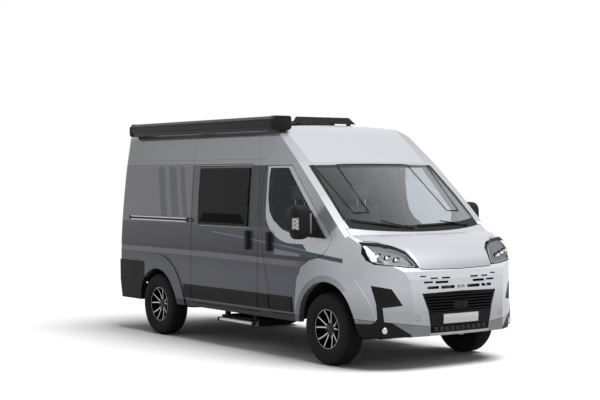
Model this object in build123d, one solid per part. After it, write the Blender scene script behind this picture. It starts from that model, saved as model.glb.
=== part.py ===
"""Camper van: high-roof panel-van body with a living space, on four wheels.

Frame: +X forward, +Y to the van's left, +Z up; origin on the ground, midway along
the length and width. Millimetres. Every node is one file in parts/.
"""
import math
import os
from functools import lru_cache

from build123d import *

os.makedirs("parts", exist_ok=True)

# ---- driving dimensions -------------------------------------------------------
LENGTH = 5413.0
WHEELBASE = 3450.0
FRONT_OVERHANG = 948.0
HALF_WIDTH = 1010.0
ROOF_HEIGHT = 2524.0
BODY_BOTTOM = 345.0
SILL_HEIGHT = 405.0
FLOOR_TOP = 560.0
FLOOR_THICKNESS = 40.0
GUTTER_HEIGHT = 2065.0
WALL = 50.0
GAP = 7.0
PROUD = 13.0

TRACK_FRONT = 1810.0
TRACK_REAR = 1790.0
TYRE_RADIUS = 372.0
TYRE_WIDTH = 225.0
RIM_RADIUS = 212.0
FRONT_ARCH_RADIUS = 490.0
REAR_ARCH_RADIUS = 440.0
KINGPIN_OFFSET = 125.0

PIN_GAP = 0.4
BONNET_HINGE = (2001.5, 1408.0)
REAR_HINGE = (-2697.0, 886.0)
REAR_HINGE_HEIGHTS = (650.0, 1560.0)
DOOR_HINGE = (1852.5, 1003.0)
DOOR_HINGE_HEIGHT = 1296.0
MIRROR_REACH = 1288.0
AWNING_TOP = 2601.0
CLEARANCE = 6.0

FRONT_AXLE = LENGTH / 2 - FRONT_OVERHANG
REAR_AXLE = FRONT_AXLE - WHEELBASE
REAR_END = -LENGTH / 2
NOSE_END = LENGTH / 2
BIG = 4000.0


# ---- small helpers --------------------------------------------------------------
def emit(name, shape):
    export_step(shape, "parts/" + name + ".step")


def block(x0, x1, y0, y1, z0, z1):
    size = (x1 - x0, y1 - y0, z1 - z0)
    return Pos((x0 + x1) / 2, (y0 + y1) / 2, (z0 + z1) / 2) * Box(*size)


def fuse(shapes):
    shapes = list(shapes)
    return shapes[0] + shapes[1:] if len(shapes) > 1 else shapes[0]


def both(shape):
    return shape + mirror(shape, Plane.XZ)


def group(shapes):
    return Compound(children=[part for shape in shapes for part in shape.solids()])


def side_prism(points, y0, y1, grow=0.0):
    """Outline in the side view (x, z), extruded from y0 to y1."""
    face = make_face(Polyline(*points, close=True))
    if grow:
        face = offset(face, grow, kind=Kind.INTERSECTION)
    plane = Plane(origin=(0, 0, 0), x_dir=(1, 0, 0), z_dir=(0, -1, 0))
    solid = extrude(plane * face, (y1 - y0) / 2, both=True)
    return Pos(0, (y0 + y1) / 2, 0) * solid


def front_prism(points, x0, x1, grow=0.0):
    """Outline in the front view (y, z), extruded from x0 to x1."""
    face = make_face(Polyline(*points, close=True))
    if grow:
        face = offset(face, grow, kind=Kind.INTERSECTION)
    plane = Plane(origin=(0, 0, 0), x_dir=(0, 1, 0), z_dir=(1, 0, 0))
    solid = extrude(plane * face, (x1 - x0) / 2, both=True)
    return Pos((x0 + x1) / 2, 0, 0) * solid


def plan_prism(points, z0, z1, grow=0.0):
    """Outline in plan (x, y), extruded from z0 to z1."""
    face = make_face(Polyline(*points, close=True))
    if grow:
        face = offset(face, grow, kind=Kind.INTERSECTION)
    solid = extrude(face, (z1 - z0) / 2, both=True)
    return Pos(0, 0, (z0 + z1) / 2) * solid


def axle_disc(x, z, radius, y0, y1):
    """Cylinder across the van, from y0 to y1."""
    return Pos(x, (y0 + y1) / 2, z) * Rot(90, 0, 0) * Cylinder(radius, abs(y1 - y0))


def flat_sided(radius, length, sides):
    """Bar along Z with flat sides, its corners on the radius."""
    return extrude(RegularPolygon(radius, sides), length / 2, both=True)


def axle_prism(x, z, radius, y0, y1, sides=48):
    """Many-sided disc across the van, from y0 to y1."""
    return Pos(x, (y0 + y1) / 2, z) * Rot(90, 0, 0) * flat_sided(radius, abs(y1 - y0), sides)


def ring_point(radius, y, turn):
    return (radius * math.cos(turn), y, radius * math.sin(turn))


def turned(profile, sides):
    """Closed outline (radius, y) turned about the Y axis in flat steps."""
    turns = [2 * math.pi * step / sides for step in range(sides + 1)]
    faces = []
    for (ra, ya), (rb, yb) in zip(profile, profile[1:] + profile[:1]):
        for t0, t1 in zip(turns, turns[1:]):
            corners = [ring_point(ra, ya, t0), ring_point(ra, ya, t1)]
            corners += [ring_point(rb, yb, t1), ring_point(rb, yb, t0)]
            faces.append(Face(Wire.make_polygon(corners)))
    return Solid(Shell(faces))


# ---- outer form -------------------------------------------------------------------
# half cross-section behind the cab: (half width, height, inward y share, downward z share)
SECTION = {
    "floor": (955.0, BODY_BOTTOM, 1.0, -1.0),
    "sill": (985.0, SILL_HEIGHT, 1.0, 0.0),
    "lower": (HALF_WIDTH, 620.0, 1.0, 0.0),
    "belt": (HALF_WIDTH - 6.0, 1343.0, 1.0, 0.0),
    "gutter": (HALF_WIDTH - 55.0, GUTTER_HEIGHT, 1.0, 0.0),
    "crease": (HALF_WIDTH - 95.0, 2380.0, 1.0, 0.2),
    "shoulder": (HALF_WIDTH - 144.0, 2452.0, 0.75, 0.7),
    "roof_edge": (HALF_WIDTH - 240.0, 2489.0, 0.3, 1.0),
    "roof_side": (390.0, 2515.0, 0.0, 1.0),
    "roof": (0.0, ROOF_HEIGHT, 0.0, 1.0),
}

# centre-line profile of the nose, from the front axle: (x, z)
NOSE = {
    "lip": (700.0, BODY_BOTTOM - 45.0),
    "chin": (930.0, BODY_BOTTOM - 10.0),
    "plate": (FRONT_OVERHANG, 520.0),
    "grille_top": (940.0, 790.0),
    "badge": (930.0, 915.0),
    "bonnet_lead": (908.0, 992.0),
    "bonnet_mid": (712.0, 1206.0),
    "cowl": (433.0, 1345.0),
    "screen_top": (-520.0, 2100.0),
    "brow": (-880.0, 2375.0),
    "roof_start": (-1294.0, ROOF_HEIGHT + 2.0),
}
NOSE_SWEEP = 5000.0
CROWN_SWEEP = 12000.0
# the windscreen's sections: (height, x on the centre line, plan radius)
SCREEN_LEVELS = [
    (1150.0, 672.0, 3300.0),
    (1345.0, 433.0, 3500.0),
    (1733.0, -47.0, 5600.0),
    (2100.0, -520.0, CROWN_SWEEP - FRONT_OVERHANG - 520.0),
]
COWL_EDGE = (405.0, 2450.0)
PLAN_CUT = FRONT_AXLE - 1450.0
NOSE_BACK = -1900.0


def section_solid(inset):
    s = {
        name: (y - inset * inward, z - inset * down)
        for name, (y, z, inward, down) in SECTION.items()
    }
    half = [
        Line((0, BODY_BOTTOM + inset), s["floor"]),
        Line(s["floor"], s["sill"]),
        Line(s["sill"], s["lower"]),
        ThreePointArc(s["lower"], s["belt"], s["gutter"]),
        Line(s["gutter"], s["crease"]),
        ThreePointArc(s["crease"], s["shoulder"], s["roof_edge"]),
        ThreePointArc(s["roof_edge"], s["roof_side"], s["roof"]),
    ]
    face = make_face(half + [mirror(edge, Plane.YZ) for edge in half])
    plane = Plane((-BIG, 0, 0), x_dir=(0, 1, 0), z_dir=(1, 0, 0))
    return extrude(plane * face, 2 * BIG)


def bent(arc, inset):
    """The arc itself on the outside; three straight steps on an inner face."""
    if inset <= 0:
        return [arc]
    stops = [arc @ (step / 3) for step in range(4)]
    return [Line(start, end) for start, end in zip(stops, stops[1:])]


def swept_profile(edges, sweep_radius):
    plane = Plane(origin=(FRONT_AXLE, 0, 0), x_dir=(1, 0, 0), z_dir=(0, -1, 0))
    axis = Axis((FRONT_AXLE + FRONT_OVERHANG - sweep_radius, 0, 0), (0, 0, 1))
    return revolve(plane * make_face(edges), axis, 60).rotate(axis, -30)


def nose_disc(x_at_centre):
    """Vertical cylinder that follows the nose's plan sweep through (x, 0)."""
    radius = x_at_centre - (FRONT_OVERHANG - NOSE_SWEEP)
    return Pos(FRONT_AXLE + FRONT_OVERHANG - NOSE_SWEEP, 0, 1500) * Cylinder(radius, 3600)


def screen_outline(height, x, radius):
    side = 1150.0
    drop = radius - math.sqrt(radius * radius - side * side)
    front = ThreePointArc((x - drop, -side), (x, 0), (x - drop, side))
    back = Polyline((x - drop, side), (NOSE_BACK, side), (NOSE_BACK, -side), (x - drop, -side))
    return Pos(FRONT_AXLE, 0, height) * make_face([front] + back.edges())


def nose_solid(inset):
    n = NOSE
    fascia = [
        Line((NOSE_BACK, 200), (n["lip"][0], 200)),
        Line((n["lip"][0], 200), n["lip"]),
        Line(n["lip"], n["chin"]),
        Line(n["chin"], n["plate"]),
        Line(n["plate"], n["grille_top"]),
        Line(n["grille_top"], n["badge"]),
        Line(n["badge"], n["bonnet_lead"]),
        *bent(ThreePointArc(n["bonnet_lead"], n["bonnet_mid"], n["cowl"]), inset),
        Line(n["cowl"], (NOSE_BACK, n["cowl"][1])),
        Line((NOSE_BACK, n["cowl"][1]), (NOSE_BACK, 200)),
    ]
    front = swept_profile(fascia, NOSE_SWEEP) - nose_disc(n["cowl"][0])
    top = ROOF_HEIGHT + 2.0
    slope = math.atan2(n["brow"][1] - n["screen_top"][1], n["screen_top"][0] - n["brow"][0])
    base = n["screen_top"][1]
    crown = [
        Line((NOSE_BACK, base), n["screen_top"]),
        Line(n["screen_top"], n["brow"]),
        *bent(TangentArc(n["brow"], n["roof_start"], tangent=(-math.cos(slope), math.sin(slope))), inset),
        Line(n["roof_start"], (NOSE_BACK, top)),
        Line((NOSE_BACK, top), (NOSE_BACK, base)),
    ]
    sections = [screen_outline(*level) for level in SCREEN_LEVELS]
    screen = [loft([low, high], ruled=True) for low, high in zip(sections, sections[1:])]
    foot = block(FRONT_AXLE + NOSE_BACK, NOSE_END, -1150, 1150, 200, SCREEN_LEVELS[0][0])
    rear = fuse([foot] + screen + [swept_profile(crown, CROWN_SWEEP)]) & nose_disc(n["cowl"][0])
    return Pos(-inset, 0, -inset / 2) * (front + rear)


# plan outline of the nose at four heights: (height, drawn in by)
PLAN_LEVELS = [(250.0, 26.0), (500.0, 0.0), (1150.0, 8.0), (2700.0, 130.0)]


def plan_outline(level, inset):
    height, drawn_in = level
    corner = 480.0
    turn = math.radians(55)
    centre = (400.0, 1012.0 - drawn_in - corner)
    reach = corner - inset
    start = (400.0, centre[1] + reach)
    mid = (centre[0] + reach * math.cos(turn), centre[1] + reach * math.sin(turn))
    end = (centre[0] + reach * math.cos(turn / 2), centre[1] + reach * math.sin(turn / 2))
    tip = (end[0] + 190.0, end[1] - 330.0)
    half = [
        Line((-1900, 1150), start),
        *bent(ThreePointArc(start, mid, end), inset),
        Line(end, tip),
    ]
    other = [mirror(edge, Plane.XZ) for edge in half]
    ends = [Line(tip, (tip[0], -tip[1])), Line((-1900, 1150), (-1900, -1150))]
    face = make_face(half + other + ends)
    return Pos(FRONT_AXLE, 0, height) * face


def plan_solid(inset):
    outlines = [plan_outline(level, inset) for level in PLAN_LEVELS]
    return fuse(loft([low, high], ruled=True) for low, high in zip(outlines, outlines[1:]))


def rear_solid(inset):
    outline = [
        (REAR_END + 20, 200),
        (REAR_END + 20, 1150),
        (REAR_END + 100, 2420),
        (REAR_END + 175, 2530),
        (PLAN_CUT + 2, 2530),
        (PLAN_CUT + 2, 200),
    ]
    return side_prism(outline, -1100, 1100, -inset)


@lru_cache(maxsize=None)
def envelope(inset):
    body = section_solid(inset) & (rear_solid(inset) + (nose_solid(inset) & plan_solid(inset)))
    corners = [
        edge
        for edge in body.edges()
        if edge.bounding_box().max.X < REAR_END + 260
        and abs(edge.center().Y) > 850
        and edge.bounding_box().size.Z > 200
    ]
    if inset > 0:
        return chamfer(corners, 0.586 * max(90.0 - inset, 20.0))
    return fillet(corners, 90.0 - inset)


def from_axle(points):
    """Side-view points given from the front axle, moved to the van's frame."""
    return [(FRONT_AXLE + x, z) for x, z in points]


def mirrored(points):
    """Close a half outline over the centre line."""
    return points + [(-y, z) for y, z in reversed(points) if y]


skin = envelope(0)
cavity = envelope(WALL)
shell = skin - cavity
glass_layer = skin - envelope(8)
proud_skin = envelope(-PROUD)
proud_layer = proud_skin - skin
NEAR = 200.0
FAR = 1400.0

# ---- outlines of the panels (side view from the front axle, or front view) --------
DOOR_TOP = GUTTER_HEIGHT - GAP / 2
DOOR_OUTLINE = from_axle([
    (-1137, DOOR_TOP), (-1189, 1965), (-1205, 1700), (-1205, 1400), (-1172, 1242), (-1150, 1100),
    (-1029, 683), (-1012, 470), (-552, 470), (-547, 581), (-504, 839), (-456, 984),
    (-300, 1070), (-95, 1113), (30, 1200), (88, 1291), (57, 1343), (-662, DOOR_TOP),
])
DOOR_WINDOW = from_axle([
    (-1061, 2036), (-1078, 1900), (-1075, 1700), (-1040, 1560), (-959, 1469), (-800, 1380),
    (-606, 1327), (-300, 1308), (0, 1303), (-724, 2036),
])
SLIDING_DOOR = [(-901, 455), (504, 455), (504, DOOR_TOP), (-901, DOOR_TOP)]
PILLAR_SEAM = from_axle([(57, 1343), (93, 1384), (195, 1447), (330, 1530)])
SLIDING_WINDOW = (-744.0, 310.0, 1388.0, 2037.0)
# left-hand windows: (x0, x1, z0, z1)
LEFT_WINDOWS = [(-250.0, 450.0, 1450.0, 1990.0), (-2350.0, -1500.0, 1480.0, 1990.0)]
REAR_DOOR = [(4, 565), (880, 565), (840, 2390), (4, 2390)]
REAR_WINDOW = [(110, 1400), (775, 1400), (755, 2010), (110, 2010)]

SCREEN_OUTLINE = mirrored([(0, 1300), (900, 1300), (904, 1432), (886, 1745), (858, 2062), (0, 2076)])
BONNET_OUTLINE = mirrored([
    (0, 1007), (466, 1016), (486, 1030), (506, 1100), (545, 1190), (626, 1236), (764, 1281),
    (905, 1297), (926, 1344), (926, 1410), (0, 1410),
])
HEADLAMP_OUTLINE = [
    (490, 1024), (512, 1097), (551, 1182), (630, 1227), (766, 1272), (944, 1286), (972, 1284),
    (980, 1171), (962, 1104), (918, 1066), (808, 1054), (621, 1031),
]
BUMPER_SEAM = from_axle([
    (280, 760), (363, 804), (503, 881), (587, 982), (625, 1080), (1100, 1080), (1100, 200), (280, 200),
])
GRILLE_OUTLINE = mirrored([(0, 372), (398, 372), (404, 448), (430, 600), (500, 775), (0, 785)])
# black lower corners of the front bumper
CORNER_OUTLINE = [
    (941, 858), (796, 825), (699, 661), (867, 639), (855, 498), (796, 491), (622, 370), (600, 250),
    (1100, 250), (1100, 470), (948, 478), (904, 526), (910, 674),
]
# brick-pattern slots over the grille: (y0, y1, z centre, height)
BRICK_SLOTS = [
    (437, 510, 944, 12), (297, 387, 922, 14), (139, 245, 922, 16),
    (362, 473, 884, 18), (168, 331, 880, 24), (291, 434, 829, 28), (86, 262, 828, 30),
    (32, 46, 828, 30), (8, 20, 828, 30),
]

front_arch = axle_prism(FRONT_AXLE, TYRE_RADIUS, FRONT_ARCH_RADIUS, -1200, 1200)
rear_arch = axle_prism(REAR_AXLE, TYRE_RADIUS, REAR_ARCH_RADIUS, -1200, 1200)
FULL = (-1400.0, 1400.0)
HALF_GAP = GAP / 2


def cowl_disc(shift):
    """Vertical cylinder through the bonnet's rear edge, moved forward by shift."""
    x, radius = COWL_EDGE
    return Pos(FRONT_AXLE + x - radius, 0, 1500) * Cylinder(radius + shift, 3600)


# ---- body shell ---------------------------------------------------------------------
def rear_door_zone(grow):
    zone = front_prism(REAR_DOOR, -3000, REAR_END + 170, grow)
    return both(zone)


door_hole = side_prism(DOOR_OUTLINE, *FULL, grow=HALF_GAP)
bonnet_zone = front_prism(BONNET_OUTLINE, 1900, 3000) - cowl_disc(HALF_GAP)
lamp_zone = both(front_prism(HEADLAMP_OUTLINE, FRONT_AXLE + 330, 3000))
bumper_zone = side_prism(BUMPER_SEAM, *FULL)
screen_zone = front_prism(SCREEN_OUTLINE, FRONT_AXLE - 700, FRONT_AXLE + 420) & cowl_disc(-78)
scuttle_zone = block(FRONT_AXLE + 100, FRONT_AXLE + 470, -892, 892, 1250, 1520) & (
    cowl_disc(-HALF_GAP) - cowl_disc(-78)
)

cab_zone = side_prism(
    PILLAR_SEAM + from_axle([(-470, 2120), (-560, 2085), (-640, 2085), (-662, GUTTER_HEIGHT)]),
    *FULL,
)

side_strip = shell & block(REAR_END - 50, FRONT_AXLE - 552, *FULL, SILL_HEIGHT, GUTTER_HEIGHT)
side_strip = side_strip - door_hole - cab_zone - rear_arch - rear_door_zone(HALF_GAP)
side_strip = side_strip - block(FRONT_AXLE - 1140, FRONT_AXLE, *FULL, DOOR_TOP - 20, GUTTER_HEIGHT)
side_strip = side_strip - block(REAR_END - 50, REAR_AXLE - 300, *FULL, 300, 885)
side_strip = side_strip - block(REAR_END - 50, FRONT_AXLE, -880, 880, 300, 565)
side_strip = side_strip - both(block(REAR_END - 60, REAR_END + 110, 893, FAR, 897, 1475))
right_side = side_strip & block(-3000, 3000, -FAR, -1, 0, 3000)
left_side = side_strip & block(-3000, 3000, 1, FAR, 0, 3000)
x0, x1, z0, z1 = SLIDING_WINDOW
sliding_window_hole = block(x0, x1, -FAR, -NEAR, z0, z1)
left_window_holes = fuse(block(x0, x1, NEAR, FAR, z0, z1) for x0, x1, z0, z1 in LEFT_WINDOWS)
sliding_zone = side_prism(SLIDING_DOOR, -FAR, -NEAR, grow=HALF_GAP)
sliding_panel = side_prism(SLIDING_DOOR, -FAR, -NEAR, grow=-HALF_GAP)

# flares stand proud of the skin round each arch: (x, arch radius, outer radius, lowest z)
FLARES = [
    ("front", FRONT_AXLE, FRONT_ARCH_RADIUS, 712.0, 420.0),
    ("rear", REAR_AXLE, REAR_ARCH_RADIUS, 620.0, 405.0),
]


def flare(x, inner, outer, low):
    ring = axle_prism(x, TYRE_RADIUS, outer, *FULL) - axle_prism(x, TYRE_RADIUS, inner, *FULL)
    ring = ring & block(x - 1000, x + 1000, *FULL, low, 2000)
    return (proud_layer & (ring - block(x - 1000, x + 1000, -900, 900, 0, 2000))) - door_hole


flares = {name: flare(*row) for name, *row in FLARES}
right_half = block(-3000, 3000, -FAR, -1, 0, 3000)
left_half = block(-3000, 3000, 1, FAR, 0, 3000)
rear_flare = flares["rear"] - block(REAR_END, REAR_AXLE - 300, *FULL, 300, 885)
hinge_x, hinge_y = REAR_HINGE
body_hinges = []
door_hinges = []
hinge_pockets = []
for z in REAR_HINGE_HEIGHTS:
    body_hinges.append(Pos(hinge_x, hinge_y, z - 20) * Cylinder(9, 40))
    body_hinges.append(block(hinge_x, hinge_x + 60, hinge_y, hinge_y + 10, z - 40, z) - cavity)
    door_hinges.append(Pos(hinge_x, hinge_y, z + 20 + PIN_GAP) * Cylinder(9, 40))
    leaf = block(hinge_x - 6, hinge_x + 60, hinge_y - 50, hinge_y, z, z + 40)
    door_hinges.append(Pos(0, 0, PIN_GAP) * leaf)
    hinge_pockets.append(Pos(hinge_x, hinge_y, z + 22) * Cylinder(9 + CLEARANCE, 44))
hinge_x, hinge_y = REAR_HINGE
lowest = REAR_HINGE_HEIGHTS[0]
hinge_pockets.append(block(hinge_x - 14, hinge_x + 12, hinge_y, hinge_y + 57, lowest - 5, lowest + 46))
hinge_pockets = both(fuse(hinge_pockets))
corner_hinge = both(fuse(body_hinges[:2]))
side_hinge = both(fuse(body_hinges[2:]))
door_hinges = fuse(door_hinges)
right_side = (right_side - hinge_pockets) + (side_hinge & block(-3000, 0, -1200, 0, 900, 2060))
left_side = (left_side - hinge_pockets) + (side_hinge & block(-3000, 0, 0, 1200, 900, 2060))
emit("side_panel_right", (right_side - sliding_zone) + (rear_flare & right_half))
emit("side_panel_left", (left_side - left_window_holes) + (rear_flare & left_half))
sliding_door = (side_strip & sliding_panel) - sliding_window_hole
rollers = [block(x, x + 50, -945, -922, 2050, GUTTER_HEIGHT) for x in (-860, 420)]
sill_edge = SLIDING_DOOR[0][1] - HALF_GAP
rollers += [block(x, x + 50, -955, -935, sill_edge, 470) for x in (-860, 420)]
rollers += [block(-927, -880, -1026, -1000, 1410, 1442) - skin]
emit("sliding_door", sliding_door + rollers)

window_layer = proud_skin - envelope(8)
x0, x1, z0, z1 = SLIDING_WINDOW
panes = [window_layer & block(x0, x1, -FAR, -NEAR, z0, z1)]
panes += [window_layer & block(x0, x1, NEAR, FAR, z0, z1) for x0, x1, z0, z1 in LEFT_WINDOWS]
emit("camper_windows", group(panes))

roof_zone = side_prism(
    [
        (-3000, GUTTER_HEIGHT), (FRONT_AXLE - 662, GUTTER_HEIGHT),
        (FRONT_AXLE - 640, 2085), (FRONT_AXLE - 560, 2085), (FRONT_AXLE - 470, 2120),
        (FRONT_AXLE - 470, 2700), (-3000, 2700),
    ],
    *FULL,
)
roof_panel = (shell & roof_zone) - rear_door_zone(HALF_GAP)
emit("roof_panel", roof_panel)

cab_frame = (shell & cab_zone) - door_hole - screen_zone - scuttle_zone
emit("cab_frame", cab_frame)
emit("windscreen", glass_layer & screen_zone)

wing_zone = from_axle([(-552, SILL_HEIGHT), (-552, 1300)]) + PILLAR_SEAM
wing_zone = side_prism(wing_zone + from_axle([(700, 1530), (700, SILL_HEIGHT)]), *FULL)
wings = (shell + flares["front"]) & wing_zone
wings = wings - door_hole - front_arch - bumper_zone - lamp_zone
wings = wings - (front_prism(BONNET_OUTLINE, 1500, 3000, grow=GAP) - cowl_disc(-HALF_GAP))
wings = wings - block(1000, 3000, -700, 700, 300, 1500) - scuttle_zone - screen_zone - cab_zone
hinge_x, hinge_y = DOOR_HINGE
pin_hole = Pos(hinge_x, hinge_y - 6, DOOR_HINGE_HEIGHT) * Cylinder(5 + PIN_GAP, 24)
slot = (DOOR_HINGE_HEIGHT - 14, DOOR_HINGE_HEIGHT + 12)
pin_hole = pin_hole + block(hinge_x - 30, hinge_x, hinge_y - 14, hinge_y + 20, *slot)
wings = wings - both(pin_hole)
emit("front_wings", group(both(wings & right_half).solids()))

thin_shell = skin - envelope(30)
hinge_x, hinge_z = BONNET_HINGE
ear = block(hinge_x, hinge_x + 26, 822, 834, hinge_z - 5, hinge_z + 3)
pin = axle_disc(hinge_x, hinge_z, 5, 812, 834)
bonnet_bores = axle_disc(hinge_x, hinge_z, 5 + PIN_GAP, 808, 838)
bonnet_bores = both(bonnet_bores + block(hinge_x, hinge_x + 30, 818, 838, hinge_z - 9, hinge_z + 20))
emit("bonnet", (thin_shell & bonnet_zone) + both(ear + pin))
scuttle = (thin_shell & scuttle_zone) - bonnet_bores
emit("headlamps", (skin - envelope(80)) & lamp_zone)

bumper = (shell + flares["front"]) & bumper_zone & block(1500, 3000, *FULL, 345, 1080)
bumper = bumper - front_arch - lamp_zone - front_prism(GRILLE_OUTLINE, 1500, 3000)
bumper = bumper - front_prism(BONNET_OUTLINE, 1500, 3000, grow=GAP)
bumper = bumper - block(1500, FRONT_AXLE + 600, -700, 700, 300, 1000)
corner_zone = both(front_prism(CORNER_OUTLINE, 1500, 3000))
slots = [block(2500, 3000, y0, y1, z - high / 2, z + high / 2) for y0, y1, z, high in BRICK_SLOTS]
slots = both(fuse(slots))
emit("front_bumper", bumper - corner_zone - slots)
emit("bumper_corners", bumper & corner_zone)

grille_zone = front_prism(GRILLE_OUTLINE, 2400, 3000)
slats = [block(2400, 3000, *FULL, z, z + 12) for z in range(590, 770, 30)]
frame_ring = grille_zone - front_prism(GRILLE_OUTLINE, 2400, 3000, grow=-22)
plate_carrier = block(2400, 3000, *FULL, 440, 580)
teeth = [block(2400, 3000, y - 6, y + 6, 376, 450) for y in range(-360, 361, 72)]
grille_fill = fuse([frame_ring, plate_carrier] + slats + teeth)
emit("grille", (envelope(8) - envelope(45)) & grille_zone & grille_fill)

# ---- rear end ------------------------------------------------------------------------
for side, turn in (("right", -1), ("left", 1)):
    zone = front_prism([(turn * y, z) for y, z in REAR_DOOR], -3000, REAR_END + 170, -HALF_GAP)
    pane = front_prism([(turn * y, z) for y, z in REAR_WINDOW], -3000, REAR_END + 300)
    door = (skin - envelope(42)) & zone
    leaves = door_hinges if turn > 0 else mirror(door_hinges, Plane.XZ)
    leaves = (leaves - envelope(-3)) + ((leaves & zone) - envelope(42))
    emit("rear_door_" + side, door - pane + leaves)
    emit("rear_glass_" + side, glass_layer & pane)

rear_corner = block(REAR_END - 50, REAR_AXLE - 300, *FULL, 400, 885)
rear_corner = (proud_skin - cavity) & rear_corner
rear_corner = rear_corner - rear_arch - rear_door_zone(HALF_GAP + 4) - block(-3000, 0, -886, 886, 300, 1000)
bumper_bar = block(REAR_END, REAR_END + 120, -960, 960, 405, 548)
bumper_bar = fillet(bumper_bar.edges().filter_by(Axis.Z).group_by(Axis.X)[0], 60)
rear_corner = (rear_corner - hinge_pockets) + corner_hinge
emit("rear_bumper", rear_corner + bumper_bar)
lamp = shell & block(REAR_END - 60, REAR_END + 110, 893, FAR, 897, 1475)
emit("tail_lamps", group([both(lamp)]))

# ---- black trim on the flanks ------------------------------------------------------
MOULDING = (500.0, 660.0)
# moulding lengths: (owner, x0, x1)
MOULDINGS = [
    ("side_right", -1066.0, -908.0), ("side_right", -894.0, 497.0), ("side_right", 511.0, 720.0),
    ("door", 747.0, 1148.0), ("side_left", -1066.0, 720.0),
]
HANDLE_DROP = (1131.0, 1343.0)
HANDLE_WIDTH = 52.0
SLIDING_HANDLE_X = 325.0
DOOR_HANDLE_X = 742.0
RAIL = (-2370.0, -927.0, 1390.0, 1462.0)

moulding_layer = proud_layer & block(-3000, 3000, *FULL, *MOULDING)


def moulding(owner):
    rows = [(x0, x1) for name, x0, x1 in MOULDINGS if name == owner]
    return fuse(moulding_layer & block(x0, x1, *FULL, *MOULDING) for x0, x1 in rows)


def handle(x, turn):
    """Oval pull standing 38 mm off the skin, with its recess closed behind it."""
    z = sum(HANDLE_DROP) / 2
    reach = (HANDLE_DROP[1] - HANDLE_DROP[0] - HANDLE_WIDTH) / 2
    oval = SlotOverall(2 * reach + HANDLE_WIDTH, HANDLE_WIDTH, rotation=90)
    plane = Plane(origin=(x, turn * 985, z), x_dir=(1, 0, 0), z_dir=(0, turn, 0))
    return extrude(plane * oval, 62) - skin


x0, x1, z0, z1 = RAIL
rail_solid = (envelope(-22) - skin) & block(x0, x1, -FAR, -NEAR, z0 + 14, z1 - 14)
side_trims = [moulding("side_right") & right_half, moulding("side_left") & left_half]
side_trims += [rail_solid, handle(SLIDING_HANDLE_X, -1)]
emit("side_trims", group(side_trims))

# ---- cab doors, with glass, trim and mirrors ----------------------------------------
# mirror head from the front axle: (x0, x1, z0, z1); its arms: z levels
MIRROR_HEAD = (-262.0, -128.0, 1292.0, 1651.0)
MIRROR_INNER = 1088.0
MIRROR_ARMS = (1372.0, 1540.0)
MIRROR_PIVOT = (FRONT_AXLE - 205.0, 1046.0)
MIRROR_FOOT = from_axle([(-345, 1311), (2, 1303), (-282, 1590)])

door_panel = side_prism(DOOR_OUTLINE, *FULL, grow=-HALF_GAP)
door_pane = side_prism(DOOR_WINDOW, *FULL)
foot_zone = side_prism(MIRROR_FOOT, *FULL)
doors = shell & door_panel
hinge_x, hinge_y = DOOR_HINGE
door_pin = Pos(hinge_x, hinge_y - 6, DOOR_HINGE_HEIGHT) * Cylinder(5, 22)
arm = (DOOR_HINGE_HEIGHT - 11, DOOR_HINGE_HEIGHT - 1)
door_pin = door_pin + block(hinge_x - 24, hinge_x, hinge_y - 11, hinge_y - 7, *arm)
for side, turn, half in (("right", -1, right_half), ("left", 1, left_half)):
    pin = door_pin if turn > 0 else mirror(door_pin, Plane.XZ)
    emit("front_door_" + side, ((doors - door_pane) & half) + pin)
    emit("door_glass_" + side, (glass_layer & door_pane & half) - foot_zone)
    foot = (proud_skin - envelope(8)) & foot_zone & door_pane & half
    px, py = MIRROR_PIVOT
    ears = fuse(block(px - 26, px + 26, 960, py + 18, z - 52, z - 28) for z in MIRROR_ARMS)
    ears = (ears if turn > 0 else mirror(ears, Plane.XZ)) - proud_skin
    trims = [moulding("door") & half, handle(DOOR_HANDLE_X, turn), foot + ears]
    emit("door_trim_" + side, group(trims))
    x0, x1, z0, z1 = MIRROR_HEAD
    head = block(FRONT_AXLE + x0, FRONT_AXLE + x1, MIRROR_INNER, MIRROR_REACH, z0, z1)
    head = fillet(head.edges().filter_by(Axis.X), 45)
    head = chamfer(head.faces().sort_by(Axis.X)[-1].edges(), 24)
    arms = fuse(block(px - 20, px + 20, py - 14, MIRROR_INNER + 20, z - 14, z + 14) for z in MIRROR_ARMS)
    posts = fuse(Pos(px, py, z - 18.8) * Cylinder(14, 18) for z in MIRROR_ARMS)
    mirror_solid = head + arms + posts
    emit("mirror_" + side, mirror_solid if turn > 0 else mirror(mirror_solid, Plane.XZ))

# ---- underbody ------------------------------------------------------------------------
RAIL_Y = 440.0
# tow-bar bolts through each rear rail: (x, x, z, hole radius)
TOW_BOLTS = (-2540.0, -2420.0, 470.0, 6.5)
# floor structure: (x0, x1, y0, y1, z0, z1), mirrored where y0 > 0
FLOOR_PARTS = [
    (REAR_END + 125, 1340.0, -930.0, 930.0, FLOOR_TOP - FLOOR_THICKNESS, FLOOR_TOP),
    (REAR_END + 125, 1340.0, RAIL_Y - 40, RAIL_Y + 40, 420.0, FLOOR_TOP - FLOOR_THICKNESS),
    (-1200.0, 1190.0, 870.0, 930.0, 410.0, FLOOR_TOP - FLOOR_THICKNESS),
    (-1230.0, -1150.0, -870.0, 870.0, 480.0, FLOOR_TOP - FLOOR_THICKNESS),
    (-420.0, -340.0, -870.0, 870.0, 480.0, FLOOR_TOP - FLOOR_THICKNESS),
    (560.0, 640.0, -870.0, 870.0, 480.0, FLOOR_TOP - FLOOR_THICKNESS),
]
# front rails and crossmember, with the same columns
FRONT_RAILS = [
    (1340.0, 1480.0, RAIL_Y - 30, RAIL_Y + 30, 440.0, FLOOR_TOP - FLOOR_THICKNESS),
    (1380.0, 2580.0, RAIL_Y - 30, RAIL_Y + 30, 520.0, 640.0),
    (2520.0, 2590.0, -620.0, 620.0, 520.0, 660.0),
]
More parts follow.
